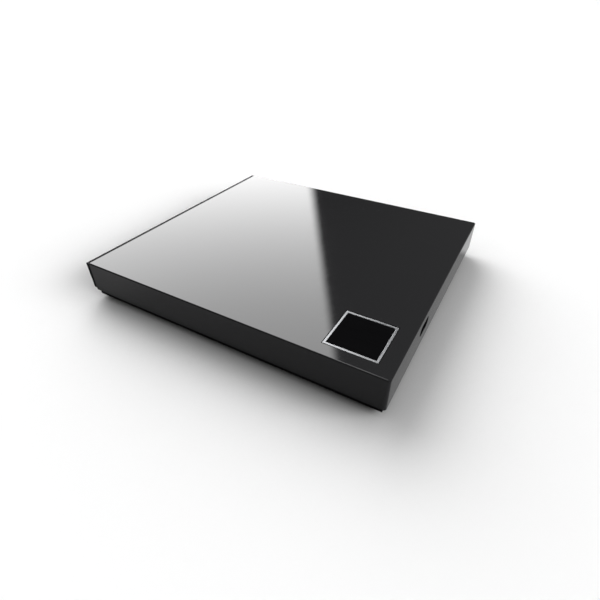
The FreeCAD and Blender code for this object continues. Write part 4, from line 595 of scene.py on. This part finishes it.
# Each slot's material name and maker, then its own colour and roughness where it has them
FINISHES = {
    "shell_gloss": ("gloss_black_plastic", gloss_plastic),
    "bezel_gloss": ("dull_black_bezel_plastic", dull_plastic),
    "button_black": ("gloss_black_button_plastic", gloss_plastic),
    "badge_black": ("smoked_window_plastic", window),
    "base_black": ("dull_black_base_plastic", dull_plastic),
    "tray_black": ("matt_black_tray_plastic", matt_plastic),
    "guide_black": ("matt_black_guide_plastic", matt_plastic),
    "switch_black": ("matt_black_switch_plastic", matt_plastic),
    "holder_black": ("matt_black_holder_plastic", matt_plastic),
    "insulator_black": ("black_insulator_plastic", matt_plastic),
    "chip_black": ("moulded_chip_resin", chip_resin),
    "badge_silver": ("satin_anodised_aluminium", satin),
    "can_alu": ("smooth_can_aluminium", satin, "can", 0.26),
    "foot_rubber": ("foot_rubber", rubber),
    "damper_rubber": ("damper_rubber", rubber),
    "ring_rubber": ("disc_ring_rubber", rubber),
    "foam_grey": ("grey_foam", foam),
    "screw_steel": ("plated_screw_steel", brushed, "bright", 0.24),
    "rail_steel": ("rolled_rail_steel", brushed),
    "motor_steel": ("drawn_motor_steel", brushed),
    "spring_steel": ("spring_wire_steel", brushed),
    "shaft_steel": ("ground_shaft_steel", brushed, "bright", 0.12),
    "port_steel": ("plated_port_steel", brushed, "bright", 0.18),
    "actuator_steel": ("blackened_yoke_steel", brushed, "yoke", 0.35),
    "pan_steel": ("zinc_plated_pan_sheet", plated),
    "plate_steel": ("zinc_plated_tray_plate", plated),
    "frame_steel": ("zinc_plated_frame_sheet", plated),
    "cover_black": ("black_painted_sheet", painted),
    "turntable_black": ("black_painted_turntable", painted),
    "sled_zinc": ("die_cast_zinc", cast),
    "claw_white": ("white_claw_resin", resin),
    "lever_white": ("white_lever_resin", resin),
    "follower_white": ("white_follower_resin", resin),
    "board_green": ("green_circuit_board", board),
    "flex_amber": ("amber_flat_cable", flex),
    "coil_copper": ("enamelled_copper_wire", winding),
    "lens_glass": ("coated_lens_glass", glass),
    "pipe_clear": ("frosted_clear_resin", clear_resin),
}


def made(name, maker, *values):
    """A new material that the maker sets up."""
    material = bpy.data.materials.new(name)
    material.use_nodes = True
    maker(material.node_tree, *values)
    material.diffuse_color = material.node_tree.nodes[SHADER].inputs["Base Color"].default_value
    return material


def finish(slot):
    """The material of a slot, made at its first use."""
    name, maker, *own = FINISHES[slot]
    found = bpy.data.materials.get(name)
    if found:
        return found
    group = bpy.context.scene.drive_colours
    colours = SimpleNamespace(**{key: tuple(getattr(group, key)) for key in group.__annotations__})
    if own:
        own[0] = getattr(colours, own[0])
    return made(name, maker, colours, *own)


# Operators

class DRIVE_OT_materials(bpy.types.Operator):
    """Give every carried-over node the material of its slot"""

    bl_idname = "drive.materials"
    bl_label = "Materials"

    def execute(self, context):
        for part in frame["record"]["subparts"]:
            mesh = frame["nodes"][part["node"]].data
            mesh.materials.clear()
            mesh.materials.append(finish(part["material_slot"]))
        return {"FINISHED"}


class Builder:
    """What the operators that shape pieces share: each builds them from the sizes in millimetres."""

    def execute(self, context):
        self.build(millimetres(context.scene.drive_sizes))
        return {"FINISHED"}


class DRIVE_OT_badge(Builder, bpy.types.Operator):
    """Carry the badge band's bevelled section round its square"""

    bl_idname = "drive.badge"
    bl_label = "Badge band"

    def build(self, sizes):
        low, high = levels("badge_frame")
        half = (high - low)[:2] / 2
        wide, bevel, bottom, top = sizes.badge_band, sizes.badge_bevel, low[2], high[2]
        section = [(0, bottom), (0, top - bevel), (-bevel, top), (bevel - wide, top), (-wide, top - bevel),
                   (-wide, bottom)]
        shell = band(*half, sizes.badge_corner, section)
        middle = (*((low + high)[:2] / 2), 0)
        piece("badge_band", placed(shell, middle), "badge_silver", "case", "badge_frame", angle=25)


class DRIVE_OT_feet(Builder, bpy.types.Operator):
    """Turn the four round feet with their eased lower edge"""

    bl_idname = "drive.feet"
    bl_label = "Feet"

    def build(self, sizes):
        low, high = levels("rubber_feet")
        radius, top, hollow = 5.0, high[2], 0.3
        side = eased([(radius * 0.72, 0), (radius, 0), (radius, top)], sizes.foot_edge)
        dish = [(0, hollow), (radius * 0.55, hollow), (radius * 0.62, 0.0)]
        foot = turned(np.concatenate([dish, side, [(0, top)]]), steps=64)
        places = [(x, y, 0) for x in (low[0] + radius, high[0] - radius)
                  for y in (low[1] + radius, high[1] - radius)]
        piece("foot_pads", copies(foot, places), "foot_rubber", "case", "rubber_feet")


class DRIVE_OT_port(Builder, bpy.types.Operator):
    """Fold the rear port's receptacle and set the tongue with its contacts"""

    bl_idname = "drive.port"
    bl_label = "Port"

    def build(self, sizes):
        low, high = levels("usb_port_shell")
        x, front, z = (low + high)[0] / 2, low[1], (low + high)[2] / 2
        half_x, depth, half_z = (high - low)[0] / 2, (high - low)[1], (high - low)[2] / 2
        wall, lip, edge, inner = sizes.port_wall, sizes.port_wall / 2, 0.3, 0.1 - half_z
        section = [(0, edge), (0, depth - lip), (-lip * 0.3, depth), (-lip * 1.7, depth),
                   (-wall, depth - lip), (-wall, wall), (inner, wall), (inner, 0), (-edge, 0)]
        can = band(half_x, half_z, sizes.port_corner, section)
        shell = placed(can, (x, front, z), y=(0, 0, 1), z=(0, 1, 0))
        piece("port_can", shell, "port_steel", "case", "usb_port_shell", angle=30)
        tip = levels("usb_port_tongue")[1][1]
        under, over, root_under, root_over = 14.0, 15.0, 12.7, 15.5
        start, root_end, root_half = front + 0.5, front + 1.4, half_x - wall - 0.15
        tongue = pillow((x - sizes.tongue_half, start, under), (x + sizes.tongue_half, tip, over), 0.25)
        root = pillow((x - root_half, start, root_under), (x + root_half, root_end, root_over), 0.4)
        piece("port_tongue", gather(tongue, root), "insulator_black", "case", "usb_port_tongue")
        half, proud = sizes.contact_width / 2, 0.05
        strip = pillow((-half, front + 1.6, under - proud), (half, tip - 0.35, under + proud), 0.03, steps=1)
        rows = [(x + n * sizes.contact_pitch, 0, side) for n in range(-4, 5) for side in (0.0, over - under)]
        piece("port_contacts", copies(strip, rows), "shaft_steel", "case")


class DRIVE_OT_screws(Builder, bpy.types.Operator):
    """Turn every screw with its cross recess"""

    bl_idname = "drive.screws"
    bl_label = "Screws"

    def build(self, sizes):
        up, down = (0, 0, 1), (0, 0, -1)
        cover_top, plate_under, frame_under, ledge = 17.0, 5.6, 6.6, 3.0
        cover = [(x, y, cover_top, up) for x in (-61.3, 61.3) for y in (-71.6, 47.7)]
        bridge = [(x, y, BRIDGE_TOP, up) for x in (-46, 46) for y in (56.6, 70.8)]
        plate = [(x, y, plate_under, down)
                 for x, y in ((-56.4, -71.5), (56.4, -61.5), (-40, 34.5), (56.4, 34.5))]
        tray_board = [(x, y, BOARD_UNDER, down) for x, y in ((-52, 26), (52, 26), (52, -36))]
        dampers = [(*at_sled(u, v, 0)[:2], frame_under, down) for u, v in DAMPERS]
        feet = [(side * 58, 66, ledge, down) for side in (-1, 1)]
        # Name, node, body and places, then the head's radius and height and the shank's radius and length
        sets = (("cover_screws", "chassis_screws", "case", cover, 1.6, 0.4, 0.8, 1.6),
                ("bridge_board_screws", "bridge_screws", "case", bridge, 1.9, 0.9, 1.0, 5.0),
                ("plate_screws", "tray_screws", "tray_assembly", plate, 1.6, 0.25, 0.8, 4.3),
                ("board_screws", None, "tray_assembly", tray_board, 1.6, 0.4, 0.8, 2.4),
                ("damper_screws", "shoulder_screws", "tray_assembly", dampers, 1.8, 0.4, 0.9, 4.0),
                ("case_bottom_screws", "case_screws", "case", feet, 2.4, 1.0, 1.2, 9.0))
        for name, node, body, places, head, height, shank, length in sets:
            one = screw(head, height, shank, length)
            shells = [placed(one, (x, y, z), y=(0, way[2], 0), z=way) for x, y, z, way in places]
            piece(name, gather(*shells), "screw_steel", body, *([node] if node else []))


class DRIVE_OT_spring(Builder, bpy.types.Operator):
    """Wind the kick-out spring"""

    bl_idname = "drive.spring"
    bl_label = "Kick-out spring"

    def build(self, sizes):
        low, high = levels("kickout_spring")
        turns = 6
        radius = (high - low)[0] / 2 - sizes.spring_wire / 2
        coil = helix(radius, sizes.spring_wire, turns, (high - low)[1] - sizes.spring_wire)
        middle = (low + high) / 2
        start = (middle[0], low[1] + sizes.spring_wire / 2, middle[2])
        shell = placed(coil, start, y=(0, 0, 1), z=(0, 1, 0))
        piece("kickout_coil", shell, "spring_steel", "case", "kickout_spring")


class DRIVE_OT_lead_screw(Builder, bpy.types.Operator):
    """Cut the lead screw's thread: the radius less the depth times a triangle wave of 4 (u / lead - turn)"""

    bl_idname = "drive.lead_screw"
    bl_label = "Lead screw"

    def build(self, sizes):
        starts, rod_radius, tip_radius = 4, 1.1, 0.7
        rod_start, thread_start, thread_end, tip_start, rod_end, tip_end = 9.7, 12.5, 56.6, 57.0, 57.2, 58.65
        u = np.linspace(rod_start, rod_end, 640)[:, None]
        angle = np.linspace(0, 2 * np.pi, 24, endpoint=False)
        phase = starts * (u / sizes.thread_lead - angle / (2 * np.pi))
        tooth = abs(2 * (phase - np.floor(phase)) - 1)
        fade = ramp((u - thread_start) / 0.5) * ramp((thread_end - u) / 0.5)
        radius = rod_radius - sizes.thread_depth * ramp(tooth) * fade
        rod = np.stack([radius * np.cos(angle), radius * np.sin(angle), u + 0 * angle], axis=-1)
        profile = [(0, tip_start), (tip_radius, tip_start), (tip_radius, tip_end), (0, tip_end)]
        tip = turned(eased(profile, 0.1), steps=24)
        along, across, up = sled_axes()
        shell = placed(gather(surface(rod), tip), at_sled(0, *SCREW_LINE), across, up, along)
        piece("threaded_screw", shell, "shaft_steel", "screw", "lead_screw")


class DRIVE_OT_motors(Builder, bpy.types.Operator):
    """Shape the stepper motor's can and the solenoid's yoke and coil"""

    bl_idname = "drive.motors"
    bl_label = "Motors"

    def stepper(self):
        """The motor's can: a turned cup with two grooves round it."""
        inner, outer, groove, mouth = 0.6, 2.2, 2.08, 1.3
        start, end = 0.5, 12.5
        profile = [(inner, start), (outer, start)]
        for place in (4.0, 8.6):
            profile += [(outer, place - 0.1), (groove, place), (groove, place + 0.4), (outer, place + 0.5)]
        profile += [(outer, end), (mouth, end)]
        along, across, up = sled_axes()
        shell = placed(turned(eased(profile, 0.12)), at_sled(0, *SCREW_LINE), across, up, along)
        piece("stepper_can", shell, "motor_steel", "tray_assembly", "stepper_motor")

    def solenoid(self, sizes):
        """The yoke's three sheets, the coil with one ridge for each turn of wire, and its two cheeks."""
        low, high = levels("solenoid")
        sheet, edge, axis_height = 0.8, 0.15, 9.0
        yoke = gather(pillow(low, (high[0], high[1], low[2] + sheet), edge),
                      pillow(low, (low[0] + sheet, high[1], high[2]), edge),
                      pillow((high[0] - sheet, low[1], low[2]), high, edge))
        piece("solenoid_yoke", yoke, "motor_steel", "tray_assembly", "solenoid")
        start, end = low[0] + sheet, high[0] - sheet
        run = np.linspace(start + 0.5, end - 0.5, 260)
        ridge = 1.32 + 0.07 * abs(np.sin(np.pi * (run - start) / sizes.coil_wire / 2))
        coil = turned(np.stack([ridge, run], axis=-1), steps=40)
        y = (low + high)[1] / 2
        axes = {"x": (0, 1, 0), "y": (0, 0, 1), "z": (1, 0, 0)}
        shell = placed(coil, (0, y, axis_height), **axes)
        piece("solenoid_coil", shell, "coil_copper", "tray_assembly")
        bore, rim, thickness = 1.05, 1.48, 0.5
        cheek = turned(eased([(bore, 0), (rim, 0), (rim, thickness), (bore, thickness)], 0.08), steps=40)
        cheeks = gather(*[placed(cheek, (place, y, axis_height), **axes)
                          for place in (start + 0.02, end - 0.52)])
        piece("solenoid_cheeks", cheeks, "insulator_black", "tray_assembly")

    def build(self, sizes):
        self.stepper()
        self.solenoid(sizes)


class DRIVE_OT_disc_seat(Builder, bpy.types.Operator):
    """Turn the rubber ring, the lens and the dampers"""

    bl_idname = "drive.disc_seat"
    bl_label = "Disc seat and lens"

    def ring(self):
        """The disc's rubber ring: a flat band of fine ribs with eased edges."""
        low, high = levels("turntable_ring")
        ribs, width = 17, 2.7
        outer = (high - low)[0] / 2
        inner = outer - width
        across = np.linspace(inner + 0.15, outer - 0.15, ribs)
        radius = np.concatenate([[inner, inner], across, [outer, outer]])
        height = np.concatenate([[low[2], high[2] - 0.1], high[2] - 0.04 * (np.arange(ribs) % 2),
                                 [high[2] - 0.1, low[2]]])
        shell = placed(turned(np.stack([radius, height], axis=-1), steps=96, closed=True), (*DISC, 0))
        piece("disc_ring", shell, "ring_rubber", "rotor", "turntable_ring")

    def lens(self, sizes):
        """The lens: height = top - crown (r / radius) squared."""
        low, high = levels("lens")
        radius = (high - low)[0] / 2
        share = np.linspace(1, 0, 12)
        dome = np.stack([radius * share, high[2] - sizes.lens_crown * share ** 2], axis=-1)
        flat = [(0, low[2]), (radius * 0.98, low[2])]
        middle = (*((low + high)[:2] / 2), 0)
        shell = placed(turned(np.concatenate([flat, dome]), steps=64), middle)
        piece("lens_dome", shell, "lens_glass", "lens_carrier", "lens")

    def dampers(self):
        """The frame's rubber dampers, each with a narrow waist."""
        low, high = levels("traverse_dampers")
        bore, rim, waist, lip, slope = 1.0, 2.1, 1.5, 0.42, 0.5
        bottom, top = low[2], high[2]
        body = eased([(bore, bottom), (rim, bottom), (rim, bottom + lip), (waist, bottom + slope),
                      (waist, top - slope), (rim, top - lip), (rim, top), (bore, top)], 0.12)
        places = [at_sled(u, v, 0) for u, v in DAMPERS]
        shell = copies(turned(body, steps=40), places)
        piece("damper_rolls", shell, "damper_rubber", "tray_assembly", "traverse_dampers")

    def build(self, sizes):
        self.ring()
        self.lens(sizes)
        self.dampers()


class DRIVE_OT_board_parts(Builder, bpy.types.Operator):
    """Set the chips with their legs, the cans and the small parts on both boards"""

    bl_idname = "drive.board_parts"
    bl_label = "Board parts"

    def chip(self, sizes, x, y, half, base, height):
        """A chip body and its legs on two sides, all standing on the board."""
        body = pillow((x - half, y - half, base + 0.12), (x + half, y + half, base + height), 0.12, steps=1)
        count = int((2 * half - 1) / sizes.leg_pitch)
        row = (np.arange(count) - (count - 1) / 2) * sizes.leg_pitch
        half_leg, thick = sizes.leg_width / 2, 0.1
        path = np.array([(half - 0.1, 0.55), (half + 0.25, 0.55), (half + 0.4, 0.12), (half + 0.8, thick)])
        section = [(-half_leg, 0), (half_leg, 0), (half_leg, -thick), (-half_leg, -thick)]
        grid = np.array([[(out, across, high + lift) for across, lift in section] for out, high in path])
        leg = surface(grid)
        right = [placed(leg, (x, y + shift, base)) for shift in row]
        left = [placed(leg, (x, y + shift, base), x=(-1, 0, 0)) for shift in row]
        return body, gather(*right, *left)

    def chips(self, sizes):
        """Both boards' chips, each given by its place, half its width and its height, and a cable socket."""
        main = ((-22, 23, 7, 1.2), (6, 22.5, 4.5, 1.0), (48, -1.5, 4, 1.0), (48, -17.5, 3, 0.8))
        bridge = ((-6, 64.6, 5, 1.2), (-26, 64.6, 2.5, 1.5))
        socket = pillow((-56.8, 17.5, 6.5), (-47.2, 21.5, BOARD_UNDER), 0.2)
        for body, node, top, places, more in (("tray_assembly", "main_chips", BOARD_TOP, main, [socket]),
                                              ("case", "bridge_chips", BRIDGE_TOP, bridge, [])):
            chips = [self.chip(sizes, x, y, half, top, height) for x, y, half, height in places]
            bodies = [one for one, legs in chips] + more
            piece(f"{node}_bodies", gather(*bodies), "chip_black", body, node)
            piece(f"{node}_legs", gather(*[legs for one, legs in chips]), "screw_steel", body)

    def cans(self):
        """The bridge board's capacitors, each with a groove near its foot, and its crystal."""
        low, high = levels("bridge_capacitors")
        radius, groove, y = 2.0, 0.15, 57.6
        can = eased([(0, low[2]), (radius, low[2]), (radius, low[2] + 0.7), (radius - groove, low[2] + 0.85),
                     (radius, low[2] + 1.0), (radius, high[2]), (0, high[2])], 0.15)
        places = [(x, y, 0) for x in (18, 24, -14)]
        piece("capacitor_cans", copies(turned(can, steps=40), places), "can_alu", "case", "bridge_capacitors")
        low, high = levels("bridge_crystal")
        corner, edge = 1.8, 0.3
        block = slab(*((high - low)[:2] / 2), corner, low[2], high[2], edge)
        middle = (*((low + high)[:2] / 2), 0)
        piece("crystal_can", placed(block, middle), "can_alu", "case", "bridge_crystal")

    def small_parts(self):
        """Two rows of small parts on the tray's board, left out beside its two larger chips."""
        small = pillow((-0.5, -0.25, 0), (0.5, 0.25, 0.35), 0.08, steps=1)
        spots = [(x, y, BOARD_TOP) for x in range(-45, 44, 4) for y in (16.2, 29.4)
                 if abs(x + 22) > 8 and abs(x - 6) > 6]
        piece("small_parts", copies(small, spots), "chip_black", "tray_assembly")

    def build(self, sizes):
        self.chips(sizes)
        self.cans()
        self.small_parts()


# Each lamp's name and strength, then its heading from +X, height angle and spread in degrees
LAMPS = (("first_rear_lamp", 1.39, 75, 22, 32), ("second_rear_lamp", 0.80, 90, 22, 32),
         ("third_rear_lamp", 0.80, 105, 22, 32), ("high_rear_lamp", 1.05, 105, 32, 32),
         ("low_front_lamp", 1.37, 225, 8, 60), ("front_lamp", 2.69, 240, 32, 60))

# The photo camera's place in metres and its sensor's width in millimetres, solved from the photo's edges
CAMERA_PLACE = (0.170118, 0.100291, 0.126703)
SENSOR_WIDTH = 36

# Radii of the floor's rings in millimetres
FLOOR_RINGS = (0.01, 100, 200, 400, 1000, 4000, 30000)

# What gloss sees: a wall beyond the plane square to one direction, in a room that brightens along another
WALL_SIDE = (-0.518, 0.843, -0.146)
ROOM_RISE = (0, 0.15, 0.65)
SMOOTH = {"interpolation_type": "SMOOTHSTEP"}


def facing(heading, height):
    """The rotation of a camera or lamp that stands at this heading from +X and this height angle."""
    level = math.cos(height)
    back = Vector((level * math.cos(heading), level * math.sin(heading), math.sin(height)))
    return back.to_track_quat("Z", "Y").to_euler()


class DRIVE_OT_stage(bpy.types.Operator):
    """Set the floor, the room's light, the lamps and the camera"""

    bl_idname = "drive.stage"
    bl_label = "Stage"

    def world(self, scene, look):
        """White to the camera, faint to matt surfaces, and to gloss a dim room with one bright wall.

        The wall has a soft edge and ends towards +X. The room gets darker towards the horizon and towards -Y.
        """
        world = bpy.data.worlds.new("studio")
        world.use_nodes = True
        tree = world.node_tree
        way = add(tree, "TexCoord").outputs["Generated"]
        axes = add(tree, "SeparateXYZ", {"Vector": way}).outputs
        side = add(tree, "VectorMath", {0: way, 1: WALL_SIDE}, operation="DOT_PRODUCT").outputs["Value"]
        beyond = spread(tree, side, 0.0135, -0.0135, **SMOOTH)
        ahead = spread(tree, axes["X"], -0.25, -0.38, **SMOOTH)
        wall = reckon(tree, "MULTIPLY", beyond, ahead)
        panel = spread(tree, axes["Z"], 0.4, 0.6, look.panel, 0.92 * look.panel)
        rise = add(tree, "VectorMath", {0: way, 1: ROOM_RISE}, operation="DOT_PRODUCT").outputs["Value"]
        room = spread(tree, rise, 0.114, 0.484, 0.08 * look.dim, look.dim)
        mirrored = mix(tree, wall, room, panel)
        rays = add(tree, "LightPath").outputs
        sharp = reckon(tree, "MAXIMUM", rays["Is Glossy Ray"], rays["Is Transmission Ray"])
        shone = mix(tree, sharp, look.ambient, mirrored)
        light = mix(tree, rays["Is Camera Ray"], shone, 1.0)
        feed(tree, tree.nodes["Background"], {"Color": (1, 1, 1, 1), "Strength": light})
        scene.world = world

    def painted_floor_reflection(self, tree):
        """The floor's grey as gloss sees it, by the place in metres: a painted reflection with painted shadow
        in it.

        Beside the object it rises from dark, a painted shadow at the +X side's foot, and by a third towards the
        front.
        Behind the rear face it is dark with painted shadow, but paler past that face's -X end.
        """
        place = add(tree, "SeparateXYZ", {"Vector": add(tree, "TexCoord").outputs["Object"]}).outputs
        near = spread(tree, place["X"], 0.0705, 0.0775, 0.03, 0.21)
        away = spread(tree, place["X"], 0.0775, 0.095, 0.0, 0.1)
        side = reckon(tree, "ADD", near, away)
        front = spread(tree, place["Y"], -0.08, -0.05, 1.35, 1.0)
        beside = reckon(tree, "MULTIPLY", side, front)
        end = spread(tree, place["X"], -0.066, -0.076, **SMOOTH)
        behind = mix(tree, end, 0.27, 0.65)
        past = spread(tree, place["Y"], 0.074, 0.079, **SMOOTH)
        return mix(tree, past, beside, behind)

    def pale(self, tree, look):
        """Matt and pale, with painted shade in its colour that is darker the less of the room a point sees, and
        a grey painted reflection to gloss.
        """
        base(tree, tuple(look.floor), 0.9)
        vary(tree, cloud(tree, 60.0), roughness=(0.85, 0.95))
        # Painted shade: the floor's colour is darkened near the object by its ambient occlusion, raised to a
        # power
        openness = add(tree, "AmbientOcclusion", {"Distance": 0.2}, samples=16).outputs["AO"]
        shade = reckon(tree, "POWER", openness, look.contact)
        vary(tree, shade, colours=(linear("#000000"), tuple(look.floor)))
        # Painted reflection: gloss sees an emission with painted shadow in it, in place of the lit floor
        painted_reflection_glow = add(tree, "Emission", {"Strength": self.painted_floor_reflection(tree)})
        glossy = add(tree, "LightPath").outputs["Is Glossy Ray"]
        both = add(tree, "MixShader", {0: glossy, 1: tree.nodes[SHADER], 2: painted_reflection_glow})
        feed(tree, tree.nodes["Material Output"], {"Surface": both})

    def floor(self, look):
        """A wide disc of rings, each wider than the last."""
        radius = np.array(FLOOR_RINGS)[:, None]
        points, faces = surface(round_z(radius, 0 * radius, steps=64), caps=False)
        mesh = bpy.data.meshes.new("studio_floor")
        mesh.from_pydata((points * MM).tolist(), [], faces)
        mesh.materials.append(made("pale_floor", self.pale, look))
        linked("studio_floor", mesh)

    def lamps(self, look):
        """The six soft lamps, which gloss doesn't see."""
        for name, energy, heading, height, angle in LAMPS:
            lamp = bpy.data.lights.new(name, "SUN")
            lamp.energy = energy * look.light
            lamp.angle = math.radians(angle)
            thing = linked(name, lamp)
            thing.rotation_euler = facing(math.radians(heading), math.radians(height))
            thing.visible_glossy = False

    def camera(self, scene, look):
        """The camera where the photograph was taken from."""
        camera = bpy.data.cameras.new("photo_camera")
        camera.lens = look.lens
        camera.sensor_width = SENSOR_WIDTH
        camera.clip_start = 0.005
        camera.clip_end = 100
        thing = linked("photo_camera", camera)
        thing.rotation_euler = facing(look.azimuth - math.pi / 2, look.elevation)
        thing.location = CAMERA_PLACE
        scene.camera = thing

    def execute(self, context):
        scene = context.scene
        look = scene.drive_stage
        self.world(scene, look)
        self.floor(look)
        self.lamps(look)
        self.camera(scene, look)
        scene.view_settings.view_transform = "Standard"
        return {"FINISHED"}


class DRIVE_PT_panel(bpy.types.Panel):
    """The drive's operators, sizes and colours"""

    bl_idname = "DRIVE_PT_panel"
    bl_label = "Disc drive"
    bl_space_type = "VIEW_3D"
    bl_region_type = "UI"
    bl_category = "Drive"

    def draw(self, context):
        for operator in OPERATORS:
            self.layout.operator(operator.bl_idname)
        for group in (context.scene.drive_sizes, context.scene.drive_colours, context.scene.drive_stage):
            box = self.layout.box()
            for key in group.__annotations__:
                box.prop(group, key)


OPERATORS = (DRIVE_OT_materials, DRIVE_OT_badge, DRIVE_OT_feet, DRIVE_OT_port, DRIVE_OT_screws,
             DRIVE_OT_spring, DRIVE_OT_lead_screw, DRIVE_OT_motors, DRIVE_OT_disc_seat,
             DRIVE_OT_board_parts, DRIVE_OT_stage)
GROUPS = {"drive_sizes": DriveSizes, "drive_colours": DriveColours, "drive_stage": DriveStage}


def register():
    for group in GROUPS.values():
        bpy.utils.register_class(group)
    for kind in (*OPERATORS, DRIVE_PT_panel):
        bpy.utils.register_class(kind)
    for name, group in GROUPS.items():
        setattr(bpy.types.Scene, name, PointerProperty(type=group))


def unregister():
    for name in GROUPS:
        delattr(bpy.types.Scene, name)
    for kind in (DRIVE_PT_panel, *OPERATORS, *GROUPS.values()):
        bpy.utils.unregister_class(kind)


def main():
    register()
    for operator in OPERATORS:
        group, name = operator.bl_idname.split(".")
        getattr(getattr(bpy.ops, group), name)()
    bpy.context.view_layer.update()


if __name__ == "__main__":
    main()
